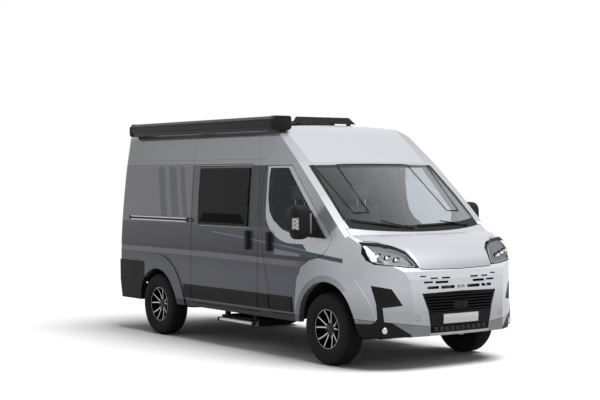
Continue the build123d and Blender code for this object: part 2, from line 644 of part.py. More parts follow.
# jacking pads under the sills: x centres
JACK_PADS = (-1000.0, 1000.0)
JACK_FACE = 398.0
rear_wells = both(axle_prism(REAR_AXLE, TYRE_RADIUS, REAR_ARCH_RADIUS + 18, 640, 1000))
underbody = fuse(both(block(*row)) if row[2] > 0 else block(*row) for row in FLOOR_PARTS)
underbody = underbody + [both(block(x - 45, x + 45, 875, 925, JACK_FACE, 410)) for x in JACK_PADS]
tow_bolts = fuse(axle_disc(x, TOW_BOLTS[2], TOW_BOLTS[3], -600, 600) for x in TOW_BOLTS[:2])
underbody = underbody - rear_wells - tow_bolts
emit("underbody", underbody)
front_rails = fuse(both(block(*row)) if row[2] > 0 else block(*row) for row in FRONT_RAILS)
emit("front_rails", front_rails)

struts = both(Pos(FRONT_AXLE, 640, 930) * flat_sided(46, 260, 16))
# wheel housings: (x, radius, inner face, outer face, wall)
HOUSINGS = [
    (FRONT_AXLE, FRONT_ARCH_RADIUS, 562.0, 930.0, 14.0),
    (REAR_AXLE, REAR_ARCH_RADIUS, 660.0, 930.0, 14.0),
]
linings = []
for x, radius, inner, outer, wall in HOUSINGS:
    ring = axle_prism(x, TYRE_RADIUS, radius + wall, inner - wall, outer)
    ring = ring - axle_prism(x, TYRE_RADIUS, radius, inner, outer + 10)
    ring = ring & block(x - 800, x + 800, 0, 1200, TYRE_RADIUS + 60, 1400)
    linings.append(both(ring) - underbody - struts)
emit("wheel_housings", group(linings))

ENGINE = (1560.0, 2300.0, -400.0, 400.0, 300.0, 930.0)
engine_feet = both(block(1640, 1760, ENGINE[3], RAIL_Y - 30, 540, 620))
emit("engine_block", block(*ENGINE) + engine_feet)
RADIATOR = (2440.0, 2500.0, -400.0, 400.0, 400.0, 860.0)
emit("radiator", block(*RADIATOR))

muffler = chamfer(block(-900, -300, -360, -120, 352, 464).edges().filter_by(Axis.X), 34)
# pipe lengths along the van: (x centre, length)
PIPES = [(630.0, 1860.0), (-1690.0, 1590.0)]
pipes = [Pos(x, -240, 440) * Rot(0, 90, 0) * flat_sided(23, length, 12) for x, length in PIPES]
emit("exhaust", fuse([muffler] + pipes))
tank = chamfer(block(-250, 520, 60, 400, 300, 500).edges(), 30)
emit("fuel_tank", tank + block(-150, 420, 180, 300, 500, FLOOR_TOP - FLOOR_THICKNESS))

SHAFT_RADIUS = 30.0

# ---- running gear -----------------------------------------------------------------------
KINGPIN_Y = TRACK_FRONT / 2 - KINGPIN_OFFSET
subframe = block(FRONT_AXLE - 130, FRONT_AXLE + 130, -380, 380, 232, 296)
mounts = both(block(FRONT_AXLE - 60, FRONT_AXLE + 60, RAIL_Y - 30, RAIL_Y + 30, 296, 520))
mounts = mounts + both(block(FRONT_AXLE - 60, FRONT_AXLE + 60, 300, RAIL_Y + 30, 240, 296))
arms = plan_prism([
    (FRONT_AXLE - 130, 370), (FRONT_AXLE + 90, 370),
    (FRONT_AXLE + 30, KINGPIN_Y), (FRONT_AXLE - 30, KINGPIN_Y),
], 238, 270)
arms = arms + Pos(FRONT_AXLE, KINGPIN_Y, 254) * flat_sided(30, 32, 16)
arms = both(arms - Pos(FRONT_AXLE, KINGPIN_Y, 254) * Cylinder(12 + PIN_GAP, 60))
tower = both(block(FRONT_AXLE - 110, FRONT_AXLE + 110, RAIL_Y + 30, 546, 560, 1085))
tower = tower + both(block(FRONT_AXLE - 90, FRONT_AXLE + 90, 500, 720, 1050, 1085))
emit("front_suspension", group([subframe + mounts + arms, tower + struts]))

LEAF = (-2380.0, -1010.0)
leaf_mid = (REAR_AXLE, 336.0)
leaf_top = ThreePointArc((LEAF[0], 420), leaf_mid, (LEAF[1], 420))
leaf_low = ThreePointArc((LEAF[0], 396), (leaf_mid[0], leaf_mid[1] - 24), (LEAF[1], 396))
leaf_ends = [Line(leaf_top @ end, leaf_low @ end) for end in (0, 1)]
leaf_face = make_face([leaf_top, leaf_low] + leaf_ends)
leaf_plane = Plane(origin=(0, 0, 0), x_dir=(1, 0, 0), z_dir=(0, -1, 0))
leaf = Pos(0, 560, 0) * extrude(leaf_plane * leaf_face, 35, both=True)
hangers = fuse(block(x - 25, x + 25, RAIL_Y - 40, 600, 396, 470) for x in (LEAF[0] + 10, LEAF[1] - 10))
beam = axle_prism(REAR_AXLE, TYRE_RADIUS, 38, -690, 690, 12)
pads = block(REAR_AXLE - 60, REAR_AXLE + 60, 520, 600, 330, 400)
stub = axle_prism(REAR_AXLE, TYRE_RADIUS, 60, 680, TRACK_REAR / 2 - 46 - CLEARANCE, 16)
stub = stub + axle_disc(REAR_AXLE, TYRE_RADIUS, SHAFT_RADIUS, 680, TRACK_REAR / 2 + 14)
disc = axle_prism(REAR_AXLE, TYRE_RADIUS, 150, 790, 812, 36)
emit("rear_axle", (beam + both(leaf + hangers + pads + stub + disc)) - underbody)

HUB_FACE = 46.0
for side, turn in (("right", -1), ("left", 1)):
    centre = TRACK_FRONT / 2
    upright = block(FRONT_AXLE - 45, FRONT_AXLE + 45, KINGPIN_Y - 26, KINGPIN_Y + 22, 270 + PIN_GAP, 500)
    ball = Pos(FRONT_AXLE, KINGPIN_Y, 258) * Cylinder(12, 40)
    hub = axle_prism(FRONT_AXLE, TYRE_RADIUS, 62, KINGPIN_Y, centre - HUB_FACE - CLEARANCE, 16)
    shaft = axle_disc(FRONT_AXLE, TYRE_RADIUS, SHAFT_RADIUS, KINGPIN_Y, centre + 14)
    brake = axle_prism(FRONT_AXLE, TYRE_RADIUS, 150, 812, 834, 36)
    caliper = block(FRONT_AXLE - 165, FRONT_AXLE - 95, 795, 852, 320, 424)
    caliper = caliper + block(FRONT_AXLE - 110, FRONT_AXLE - 30, 790, 812, 340, 404)
    knuckle = upright + ball + hub + shaft + brake + caliper
    emit("knuckle_" + side, knuckle if turn > 0 else mirror(knuckle, Plane.XZ))

# ---- wheels ----------------------------------------------------------------------------
half_width = TYRE_WIDTH / 2
TYRE_SIDES = 48
RIM_SIDES = 30
# one side of the tyre: (radius, drawn in from the full width)
TYRE_SIDE = [(RIM_RADIUS, 22), (RIM_RADIUS + 30, 4), (300, 0), (348, 8), (TYRE_RADIUS, 40)]
TYRE_PROFILE = [(radius, inset - half_width) for radius, inset in TYRE_SIDE]
TYRE_PROFILE += [(radius, half_width - inset) for radius, inset in reversed(TYRE_SIDE)]
RIM_PROFILE = [
    (28, -HUB_FACE), (80, -HUB_FACE), (84, 40), (196, 64), (196, -84),
    (RIM_RADIUS - 1, -91), (RIM_RADIUS - 1, 91), (196, 84), (84, 62), (28, 58),
]
SPOKE_PAIRS = 5
window = Pos(0, 50, 0) * Rot(90, 0, 0) * extrude(
    make_face(Polyline((-20, 92), (20, 92), (34, 186), (-34, 186), close=True)), 60, both=True
)
openings = [Rot(0, turn * 36, 0) * window for turn in range(2 * SPOKE_PAIRS)]
WHEELS = [
    ("front_left", FRONT_AXLE, TRACK_FRONT / 2, 1),
    ("front_right", FRONT_AXLE, TRACK_FRONT / 2, -1),
    ("rear_left", REAR_AXLE, TRACK_REAR / 2, 1),
    ("rear_right", REAR_AXLE, TRACK_REAR / 2, -1),
]
tyre_base = turned(TYRE_PROFILE, TYRE_SIDES)
rim_base = turned(RIM_PROFILE, RIM_SIDES) + axle_prism(0, 0, 60, 24, 58, 16)
rim_base = rim_base - openings - axle_disc(0, 0, SHAFT_RADIUS + PIN_GAP, -100, 24)
for name, x, y, turn in WHEELS:
    place = Pos(x, turn * y, TYRE_RADIUS)
    emit("tyre_" + name, place * (tyre_base if turn > 0 else mirror(tyre_base, Plane.XZ)))
    emit("rim_" + name, place * (rim_base if turn > 0 else mirror(rim_base, Plane.XZ)))

# ---- cab -------------------------------------------------------------------------------
bulkhead = block(1340, 1380, -905, 905, FLOOR_TOP - FLOOR_THICKNESS, 1130)
shelf = block(1380, 2040, -880, 880, 1090, 1130)
dashboard = side_prism([
    (1470, 1130), (1440, 1190), (1560, 1330), (1760, 1345), (2030, 1240), (2030, 1130),
], -880, 880)
housing_clear = both(axle_prism(FRONT_AXLE, TYRE_RADIUS, FRONT_ARCH_RADIUS + 20, 540, 960))
bulkhead = bulkhead + shelf - housing_clear
emit("bulkhead", bulkhead)

SEAT_X = 700.0
SEAT_Y = 440.0
cushion = chamfer(block(SEAT_X - 60, SEAT_X + 470, SEAT_Y - 250, SEAT_Y + 250, 900, 1040).edges(), 30)
back_face = make_face(Polyline((-20, 0), (110, 0), (-60, 640), (-160, 640), close=True))
back_plane = Plane(origin=(SEAT_X - 60, SEAT_Y + 240, 1000), x_dir=(1, 0, 0), z_dir=(0, -1, 0))
back = chamfer(extrude(back_plane * back_face, 480).edges(), 24)
head_rest = block(SEAT_X - 245, SEAT_X - 155, SEAT_Y - 130, SEAT_Y + 130, 1660, 1860)
head_rest = chamfer(head_rest.edges(), 22)
pedestal = block(SEAT_X, SEAT_X + 380, SEAT_Y - 190, SEAT_Y + 190, FLOOR_TOP, 910)
emit("cab_seats", group([both(cushion + back + head_rest + pedestal)]))

WHEEL_CENTRE = (1290.0, SEAT_Y, 1290.0)
WHEEL_TILT = 28.0
# section of the steering ring: (radius, height)
RING_SECTION = [(170, 0), (177, 13), (193, 13), (200, 0), (193, -13), (177, -13)]
ring = Rot(90, 0, 0) * turned(RING_SECTION, 32)
spokes = [Rot(0, 0, turn) * Pos(95, 0, -8) * Box(180, 34, 16) for turn in (0, 120, 240)]
boss = Pos(0, 0, -12) * flat_sided(60, 40, 16)
wheel = fuse([ring, boss] + spokes)
tilt = Pos(*WHEEL_CENTRE) * Rot(0, -(90 - WHEEL_TILT - 28), 0)
shaft_bore = Pos(0, 0, -40) * Cylinder(12 + PIN_GAP, 60)
emit("steering_wheel", tilt * (wheel - shaft_bore))
column = Pos(0, 0, -32 - CLEARANCE - 150) * flat_sided(34, 300, 16)
column = tilt * (column + Pos(0, 0, -60) * Cylinder(12, 60))
emit("dashboard", dashboard + (column - bulkhead))

# ---- living space ----------------------------------------------------------------------
# cabinets: (x0, x1, y0, y1, z0, z1)
CABINETS = [
    (-1040.0, -250.0, -885.0, -430.0, FLOOR_TOP, 1430.0),
    (-2540.0, -1060.0, -880.0, -640.0, 832.0, 1000.0),
    (-2540.0, -1060.0, 640.0, 880.0, 832.0, 1000.0),
    (-2540.0, -1060.0, -880.0, 880.0, 1000.0, 1022.0),
    (-1078.0, -1060.0, -640.0, 640.0, FLOOR_TOP, 1000.0),
    (-150.0, 250.0, 320.0, 880.0, FLOOR_TOP, 950.0),
    (170.0, 540.0, 330.0, 830.0, 1230.0, 1256.0),
    (330.0, 380.0, 560.0, 610.0, FLOOR_TOP, 1230.0),
]
lockers = both(block(-2440, 380, 540, 1000, 2090, 2600)) & cavity
washroom = block(-1040, -170, 270, 880, FLOOR_TOP, 2040) - block(-1020, -190, 290, 860, FLOOR_TOP, 2020)
washroom = washroom - block(-800, -300, 200, 300, FLOOR_TOP + 60, 1960)
emit("furniture", group([block(*row) for row in CABINETS] + [lockers, washroom]))

# upholstery: (x0, x1, y0, y1, z0, z1)
CUSHIONS = [
    (-2530.0, -1080.0, -870.0, -4.0, 1022.5, 1140.0),
    (-2530.0, -1080.0, 4.0, 870.0, 1022.5, 1140.0),
    (-150.0, 250.0, 325.0, 875.0, 950.5, 1050.0),
    (-165.0, -75.0, 325.0, 875.0, 1052.0, 1560.0),
]
emit("cushions", group([chamfer(block(*row).edges(), 20) for row in CUSHIONS]))

# ---- roof equipment --------------------------------------------------------------------
AWNING = (-2402.0, 800.0)
awning_profile = [
    (-872, 2470), (-872, 2585), (-890, AWNING_TOP), (-955, AWNING_TOP), (-1000, 2570), (-1000, 2490),
    (-970, 2446), (-900, 2446),
]
brackets = [block(x - 60, x + 60, -900, -760, 2475, 2530) for x in (-2150, -800, 550)]
awning = front_prism(awning_profile, *AWNING) + brackets
emit("awning", awning - skin)

# roof openings with their domes: (x centre, length, width)
SKYLIGHTS = [(-80.0, 700.0, 500.0), (-1900.0, 400.0, 400.0)]
domes = [
    extrude(Pos(x, 0, 2500) * RectangleRounded(length, width, 60), 84, taper=12)
    for x, length, width in SKYLIGHTS
]
emit("skylights", group([dome - skin for dome in domes]))
DEFLECTOR_TOP = 2621.0
DEFLECTOR_LOW = 2545.0
DEFLECTOR_X = 398.0
deflector = front_prism([
    (-452, DEFLECTOR_LOW), (452, DEFLECTOR_LOW), (375, DEFLECTOR_TOP), (-375, DEFLECTOR_TOP),
], 300, 450)
deflector = deflector & side_prism([
    (DEFLECTOR_X - 12, DEFLECTOR_LOW), (DEFLECTOR_X, DEFLECTOR_LOW),
    (DEFLECTOR_X - 36, DEFLECTOR_TOP), (DEFLECTOR_X - 48, DEFLECTOR_TOP),
], *FULL)
feet = [block(DEFLECTOR_X - 40, DEFLECTOR_X - 4, y - 20, y + 20, 2490, 2562) for y in (-360, -120, 120, 360)]
emit("wind_deflector", (deflector + feet) - skin)

# ---- entry step ------------------------------------------------------------------------
STEP = (-327.0, 405.0)
STEP_TRAVEL = 200.0
housing = block(STEP[0] - 24, STEP[1] + 24, -930, -560, 336, 350)
housing = housing + [
    block(x - 8, x + 8, -930, -560, 272, 350) for x in (STEP[0] - 8 - PIN_GAP, STEP[1] + 8 + PIN_GAP)
]
housing = housing + [block(x - 30, x + 30, -930, -890, 350, 412) for x in (-250, 330)]
housing = housing + [block(x - 30, x + 30, -620, -400, 350, 422) for x in (-250, 330)]
emit("step_housing", housing - underbody)
emit("entry_step", fillet(block(*STEP, -990, -590, 285, 328).edges().filter_by(Axis.X), 12))

# ---- wipers and plates -----------------------------------------------------------------
WIPERS = [
    [(-810, 1492), (-806, 1506), (-300, 1430), (-302, 1416)],
    [(-60, 1424), (-58, 1438), (560, 1452), (562, 1438)],
]
wiper_layer = envelope(-16) - skin
wipers = [wiper_layer & front_prism(row, FRONT_AXLE + 60, FRONT_AXLE + 430) for row in WIPERS]
emit("scuttle_panel", group([scuttle] + wipers))
PLATE = (235.0, 462.0, 556.0)
front_plate = (skin - envelope(8)) & block(2500, 3000, -PLATE[0], PLATE[0], PLATE[1], PLATE[2])
emit("number_plate", front_plate)
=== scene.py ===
"""Camper van: finishes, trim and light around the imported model, as a lesson in cells.

Units are metres: +X forward, +Y to the van's left, +Z up, origin on the ground.
"""
# %% [markdown]
# ## The frame
# The body shell, doors, wheels and furniture come from a CAD model. This script never
# moves them. It gives them finishes and adds the small things that make a van look real.

# %% Load the frame
import math

import bmesh
import bpy
from mathutils import Matrix, Vector
from mathutils.bvhtree import BVHTree


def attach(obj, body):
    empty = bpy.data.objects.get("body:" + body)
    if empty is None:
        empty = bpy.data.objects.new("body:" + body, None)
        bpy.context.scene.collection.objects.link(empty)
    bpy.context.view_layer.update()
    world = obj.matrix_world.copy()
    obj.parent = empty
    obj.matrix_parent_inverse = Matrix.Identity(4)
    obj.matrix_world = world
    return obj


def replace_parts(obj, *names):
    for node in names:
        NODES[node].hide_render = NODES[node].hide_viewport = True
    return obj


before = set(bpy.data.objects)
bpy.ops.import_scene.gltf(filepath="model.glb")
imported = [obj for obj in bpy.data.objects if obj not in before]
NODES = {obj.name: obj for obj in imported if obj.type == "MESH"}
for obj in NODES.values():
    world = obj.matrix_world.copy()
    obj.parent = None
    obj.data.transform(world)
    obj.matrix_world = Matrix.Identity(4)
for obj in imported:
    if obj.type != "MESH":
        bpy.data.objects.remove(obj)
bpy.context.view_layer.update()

print("nodes in the frame:", len(NODES))

# %% [markdown]
# ## Shader maths that reads like maths
# A material is a graph of nodes. Wiring it by hand is long and hard to check, so one
# small class wraps a node's socket and turns + - * / into Math nodes. A second class
# stands for a whole finish and adds any other node from its type, settings and inputs.


# %% A socket with operators
class Wave:
    """One number that varies over a surface; arithmetic on it adds Math nodes."""

    def __init__(self, finish, socket):
        self.finish = finish
        self.socket = socket

    def math(self, operation, *others, clamp=False):
        inputs = {i: value for i, value in enumerate((self,) + others)}
        settings = {"operation": operation, "use_clamp": clamp}
        return self.finish.node("ShaderNodeMath", settings, inputs)

    def __add__(self, other):
        return self.math("ADD", other)

    def __sub__(self, other):
        return self.math("SUBTRACT", other)

    def __rsub__(self, other):
        return self.finish.node("ShaderNodeMath", {"operation": "SUBTRACT"}, {0: other, 1: self})

    def __mul__(self, other):
        return self.math("MULTIPLY", other)

    def __truediv__(self, other):
        return self.math("DIVIDE", other)

    def __abs__(self):
        return self.math("ABSOLUTE")

    __radd__ = __add__
    __rmul__ = __mul__

    def above(self, edge, soft=0.001):
        """0 below the edge, 1 above it, smooth over a width of soft."""
        return ((self - edge) / soft + 0.5).math("MULTIPLY", 1.0, clamp=True)

    def below(self, edge, soft=0.001):
        return 1.0 - self.above(edge, soft)

    def between(self, low, high, soft=0.001):
        return self.above(low, soft) * self.below(high, soft)

    def smaller(self, other):
        return self.math("MINIMUM", other)

    def larger(self, other):
        return self.math("MAXIMUM", other)


# %% A finish builds one material
class Finish:
    """A material with one Principled shader, built from short calls."""

    def __init__(self, name, colour, roughness, metallic=0.0, **fixed):
        self.material = bpy.data.materials.new(name)
        self.material.use_nodes = True
        self.tree = self.material.node_tree
        self.shader = self.tree.nodes["Principled BSDF"]
        self.output = self.tree.nodes["Material Output"]
        self.material.diffuse_color = (*colour, 1.0)
        self.shader.inputs["Base Color"].default_value = (*colour, 1.0)
        self.shader.inputs["Roughness"].default_value = roughness
        self.shader.inputs["Metallic"].default_value = metallic
        for socket, value in fixed.items():
            self.shader.inputs[socket.replace("_", " ")].default_value = value
        self.place = self.tree.nodes.new("ShaderNodeTexCoord").outputs["Object"]

    def node(self, kind, settings=None, inputs=None, output=0):
        made = self.tree.nodes.new(kind)
        for name, value in (settings or {}).items():
            setattr(made, name, value)
        for key, value in (inputs or {}).items():
            self.feed(made.inputs[key], value)
        return Wave(self, made.outputs[output])

    def feed(self, socket, value):
        if isinstance(value, Wave):
            self.tree.links.new(value.socket, socket)
        elif isinstance(value, bpy.types.NodeSocket):
            self.tree.links.new(value, socket)
        else:
            socket.default_value = value

    def xyz(self):
        split = self.tree.nodes.new("ShaderNodeSeparateXYZ")
        self.tree.links.new(self.place, split.inputs[0])
        return [Wave(self, split.outputs[i]) for i in range(3)]

    def stretched(self, x=1.0, y=1.0, z=1.0):
        return self.node("ShaderNodeMapping", {}, {"Vector": self.place, "Scale": (x, y, z)})

    def noise(self, scale, detail=2.0, rough=0.5, place=None):
        inputs = {"Vector": place or self.place, "Scale": scale, "Detail": detail, "Roughness": rough}
        return self.node("ShaderNodeTexNoise", {}, inputs)

    def glance(self, straight=0.04):
        """Share of light that glass mirrors, from straight on to edge on."""
        facing = self.node("ShaderNodeLayerWeight", {}, {"Blend": 0.5}, "Facing")
        return facing.math("POWER", 5.0) * (1.0 - straight) + straight

    def cells(self, scale):
        return self.node("ShaderNodeTexVoronoi", {}, {"Vector": self.place, "Scale": scale})

    def facing(self, axis):
        """Size of the surface's own direction along a world axis; 0 is x, 1 is y."""
        normal = self.node("ShaderNodeNewGeometry", {}, {}, "True Normal")
        return abs(self.node("ShaderNodeSeparateXYZ", {}, {0: normal}, axis))

    def mix(self, factor, low, high):
        """Colour between low and high; each is a colour or a wave."""
        inputs = {0: factor, 6: self.rgba(low), 7: self.rgba(high)}
        return self.node("ShaderNodeMix", {"data_type": "RGBA"}, inputs, 2)

    @staticmethod
    def rgba(value):
        return (*value, 1.0) if isinstance(value, tuple) and len(value) == 3 else value

    def set(self, **links):
        for socket, value in links.items():
            self.feed(self.shader.inputs[socket.replace("_", " ")], value)

    def plugged(self, socket):
        """The wave that already feeds one of the shader's inputs."""
        return Wave(self, self.shader.inputs[socket].links[0].from_socket)

    def vary(self, wave, spread, smoothest, dark=None, pale=None):
        """Let a wave move the roughness and, where two colours are given, the colour."""
        self.set(Roughness=wave * spread + smoothest)
        if dark:
            self.set(Base_Color=self.mix(wave, dark, pale))

    def bump(self, height, distance, strength=1.0, under=None):
        inputs = {"Height": height, "Distance": distance, "Strength": strength}
        if under is not None:
            inputs["Normal"] = under
        self.set(Normal=self.node("ShaderNodeBump", {}, inputs))

    def blend(self, share, low, high):
        """A shader between two others."""
        return self.node("ShaderNodeMixShader", {}, {0: share, 1: low, 2: high})

    def own(self):
        return Wave(self, self.shader.outputs[0])

    def show(self, shader):
        self.feed(self.output.inputs["Surface"], shader)


def dress(names, finish):
    """Give CAD nodes a finish; their meshes stay as they are."""
    for name in names.split():
        for slot in NODES[name].material_slots:
            slot.material = finish.material
    print(finish.material.name, "on", names)


# %% [markdown]
# ## Metallic paint
# Vehicle paint is a coloured base with fine aluminium flakes under a clear coat. The
# flakes are far smaller than a pixel, so they are only a faint mottling of the colour
# and roughness. The clear coat is a second, very smooth reflection on top.

# %% Silver paint
SILVER = (0.60, 0.61, 0.66)
GREY = (0.155, 0.158, 0.175)


def paint(name, colour):
    finish = Finish(name, colour, 0.34, 0.22, Coat_Weight=0.5, Coat_Roughness=0.04)
    flakes = finish.noise(1400.0, 1.0)
    cloud = finish.noise(1.3, 2.0)
    depth = flakes * 0.10 + cloud * 0.06 + 0.92
    dark = tuple(0.9 * c for c in colour)
    finish.set(Base_Color=finish.mix((depth - 0.9) * 5.0, dark, colour))
    finish.set(Roughness=flakes * 0.10 + 0.29)
    finish.bump(finish.noise(90.0, 1.0), 0.00006, 0.35)
    return finish


silver_paint = paint("silver paint", SILVER)
dress("cab_frame", paint("frame silver", (0.52, 0.53, 0.575)))

# %% Front bumper: painted shade at the foot, a darker lip under a shut line with a painted shadow, black slots
# colours of the bumper; the foot is painted shade, and the shut line is a dark joint with a painted shadow
BUMPER_PAINT_AND_SHADE = {
    "foot": (0.46, 0.47, 0.50),
    "lip": (0.20, 0.205, 0.22),
    "shut line": (0.03, 0.03, 0.033),
    "slot": (0.006, 0.006, 0.006),
}
bumper_paint = paint("bumper silver", (0.76, 0.77, 0.82))
_, aside, up = bumper_paint.xyz()
# painted shade: the bumper's colour darkens towards its foot
bumper_colour = bumper_paint.mix(up.above(0.70, 0.25), BUMPER_PAINT_AND_SHADE["foot"], bumper_paint.plugged("Base Color"))
outer = abs(aside).above(0.40)
over_lip = up + abs(aside) * -0.123 - 0.393
bumper_colour = bumper_paint.mix(over_lip.below(0.0) * outer, bumper_colour, BUMPER_PAINT_AND_SHADE["lip"])
# the shut line is a dark joint drawn with a painted shadow along it
bumper_colour = bumper_paint.mix(abs(over_lip).below(0.003) * outer, bumper_colour, BUMPER_PAINT_AND_SHADE["shut line"])
# the walls inside the brick-pattern slots face up, down or sideways and stay black
slot_wall = bumper_paint.facing(0).below(0.60) * up.between(0.800, 0.965) * abs(aside).below(0.53)
bumper_paint.set(Base_Color=bumper_paint.mix(slot_wall, bumper_colour, BUMPER_PAINT_AND_SHADE["slot"]))
dress("front_bumper", bumper_paint)

# %% Bonnet: pressed creases as a bump, painted shade towards the front edge
BONNET_PAINTED_SHADE = (0.30, 0.31, 0.34)
bonnet_paint = paint("bonnet silver", SILVER)
_, aside, up = bonnet_paint.xyz()
# painted shade: the bonnet's colour darkens towards its front edge
unshaded_share = up.above(1.075, 0.10) * 0.6 + 0.4
bonnet_paint.set(Base_Color=bonnet_paint.mix(unshaded_share, BONNET_PAINTED_SHADE, bonnet_paint.plugged("Base Color")))
panel = abs(aside).below(0.50, 0.045) * up.below(1.275, 0.05)
bonnet_paint.bump(panel, 0.005, 1.0, bonnet_paint.plugged("Normal"))
dress("bonnet", bonnet_paint)

# %% [markdown]
# ## Side graphics
# The grey of the flanks and the dark and blue bands are thin film on silver paint. Film
# follows the panel, so it is part of the colour, not of the shape. Each band is a simple
# rule in x and z, and the same rule serves both flanks because y isn't used.

# %% Film colours and where they end
FILM = {
    "upper": (0.270, 0.268, 0.290),
    "slant": (0.170, 0.174, 0.184),
    "pillar": (0.082, 0.086, 0.090),
    "shade": (0.072, 0.074, 0.094),
    "lower": (0.125, 0.128, 0.152),
    "dark": (0.055, 0.055, 0.067),
    "light": (0.200, 0.202, 0.226),
    "edge": (0.270, 0.275, 0.305),
    "blue": (0.060, 0.092, 0.128),
    "sill": (0.010, 0.010, 0.011),
    "reveal": (0.010, 0.010, 0.010),
}
FRONT_AXLE = {"x": 1.7585, "z": 0.372}
# the cab door's dark film ends on a quarter ellipse: its centre and half sizes
ELLIPSE = {"x": 1.15, "z": 1.56, "wide": 0.503, "high": 0.33}
BLUE_HALF = 0.022


def blue_line(x, z):
    """Height above the middle of the blue line, which sinks towards the nose."""
    return z + x * 0.080 - 1.250


def bands(finish, x, z):
    """The colours behind the cab, from the roof down."""
    # darker slants behind the sliding window lean back towards the roof
    lean = x + (z - 1.46) * 0.22
    slants = lean.between(-1.62, -1.47) + lean.between(-1.36, -1.19) + lean.between(-1.10, -1.00)
    upper = finish.mix(slants * z.between(1.46, 2.067), FILM["upper"], FILM["slant"])
    colour = finish.mix(x.above(-0.93) * z.above(1.06), upper, FILM["slant"])
    colour = finish.mix(x.above(0.33), colour, FILM["pillar"])
    below_rail = finish.mix(z.between(1.00, 1.30, 0.25), FILM["lower"], FILM["shade"])
    colour = finish.mix(z.below(1.385), colour, below_rail)
    slope = z + x.above(0.3, 1.6) * 0.020
    dark = slope.between(1.070, 1.118) * x.below(1.50)
    colour = finish.mix(dark, colour, FILM["dark"])
    light = slope.between(1.008, 1.070) * x.below(1.30, 0.20)
    colour = finish.mix(light, colour, FILM["light"])
    over_blue = blue_line(x, z)
    half = x.above(-0.27, 0.9) * 0.012 + 0.010
    wedge = over_blue.below(0.0) * slope.above(1.118) * x.between(0.82, 1.30)
    edge = abs(over_blue - half - 0.006).below(0.006) * x.between(-0.45, 1.62)
    colour = finish.mix(wedge.larger(edge), colour, FILM["edge"])
    blue = (abs(over_blue) - half).below(0.0) * x.between(-0.72, 2.04)
    colour = finish.mix(blue, colour, FILM["blue"])
    return finish.mix(z.below(0.478), colour, FILM["sill"])


def flaked(finish, colour, flakes):
    """Multiply a colour by the flakes' faint mottling."""
    shade = flakes * 0.16 + 0.92
    grey = finish.node("ShaderNodeCombineColor", {}, {0: shade, 1: shade, 2: shade})
    settings = {"data_type": "RGBA", "blend_type": "MULTIPLY"}
    return finish.node("ShaderNodeMix", settings, {0: 1.0, 6: colour, 7: grey}, 2)


# painted light: the flanks' silver is a lighter copy of the body paint
PAINTED_LIT_SILVER = (0.74, 0.75, 0.80)
PAINTED_HIGHLIGHT_SILVER = (0.92, 0.93, 0.98)


def side_film(name, silver_front=None):
    """Flank finish; silver_front(x, z) says where silver, lit by painted light, shows again."""
    coat = {"Coat_Weight": 0.12, "Coat_Roughness": 0.045, "Specular_IOR_Level": 0.15}
    finish = Finish(name, GREY, 0.34, 0.22, **coat)
    x, _, z = finish.xyz()
    flakes = finish.noise(1400.0, 1.0)
    colour = bands(finish, x, z)
    if silver_front:
        # painted highlight: the silver is lighter still at the upper front
        painted_highlight_share = x.above(1.55, 0.9) * z.above(1.20, 0.5)
        silver = finish.mix(painted_highlight_share, PAINTED_LIT_SILVER, PAINTED_HIGHLIGHT_SILVER)
        colour = finish.mix(silver_front(x, z), colour, silver)
        # the walls of the window opening are rubber, not paint
        opening = x.between(0.62, 1.62) * z.between(1.36, 2.05)
        colour = finish.mix(finish.facing(1).below(0.50) * opening, colour, FILM["reveal"])
    finish.set(Base_Color=flaked(finish, colour, flakes), Roughness=flakes * 0.10 + 0.29)
    finish.bump(finish.noise(90.0, 1.0), 0.00006, 0.35)
    return finish


def door_silver(x, z):
    """Silver frames the window; ahead of a slanting line it reaches the blue line."""
    across = ((ELLIPSE["x"] - x) / ELLIPSE["wide"]).larger(0.0)
    down = ((ELLIPSE["z"] - z) / ELLIPSE["high"]).larger(0.0)
    framed = (across * across + down * down).below(1.0, 0.01)
    ahead = (x + z.smaller(1.40) * 1.09).above(2.69) * blue_line(x, z).above(BLUE_HALF)
    return framed.larger(ahead)


def wing_silver_and_painted_shade(x, z):
    """Silver above the blue band; below it, painted shade mixes in grey film, more towards the door and in a
    ring round the wheel arch.
    """
    across, high = x - FRONT_AXLE["x"], z - FRONT_AXLE["z"]
    from_axle = (across * across + high * high).math("SQRT")
    lip = from_axle.below(0.555, 0.010) * z.above(0.40, 0.02)
    # painted shade: the share of silver falls towards the door and round the wheel arch
    front = x.above(1.72, 0.66) * 0.45 + 0.55
    band = abs(blue_line(x, z)).below(BLUE_HALF) * x.below(2.04)
    return blue_line(x, z).above(BLUE_HALF).larger((front - lip * 0.35) * (1.0 - band))


flank = side_film("flank film")
dress("side_panel_right side_panel_left sliding_door rear_door_right rear_door_left", flank)
dress("front_door_right front_door_left", side_film("cab door film", door_silver))
dress("front_wings", side_film("wing film", wing_silver_and_painted_shade))

# %% Roof paint: grey film at the sides with painted light that grows towards the front, silver over the cab
def roof_finish():
    finish = paint("roof paint", SILVER)
    x, y, z = finish.xyz()
    side = x.below(1.45, 1.3) * abs(y).above(0.80)
    # painted light: the grey film lightens towards the front
    film = finish.mix(x.above(-0.9, 3.4), (0.20, 0.215, 0.22), (0.42, 0.425, 0.46))
    grey = finish.mix(side, finish.plugged("Base Color"), film)
    # dark lines: the gutter's rubber seal at 2.080 and the panel seams are real; the lines at 2.135 and 2.402
    # are painted shade in creases
    line = abs(z - 2.080).below(0.007) * x.below(0.36)
    line = line.larger(abs(z - 2.135).below(0.002) * x.below(0.60))
    line = line.larger(abs(z - 2.402).below(0.0025) * x.between(-0.92, 0.42))
    seam = abs(x + 0.915).below(0.0022).larger(abs(x - 0.44).below(0.0022)) * z.below(2.40)
    drawn = line.larger(seam) * abs(y).above(0.84)
    finish.set(Base_Color=finish.mix(drawn, grey, (0.035, 0.036, 0.04)))
    return finish


dress("roof_panel", roof_finish())

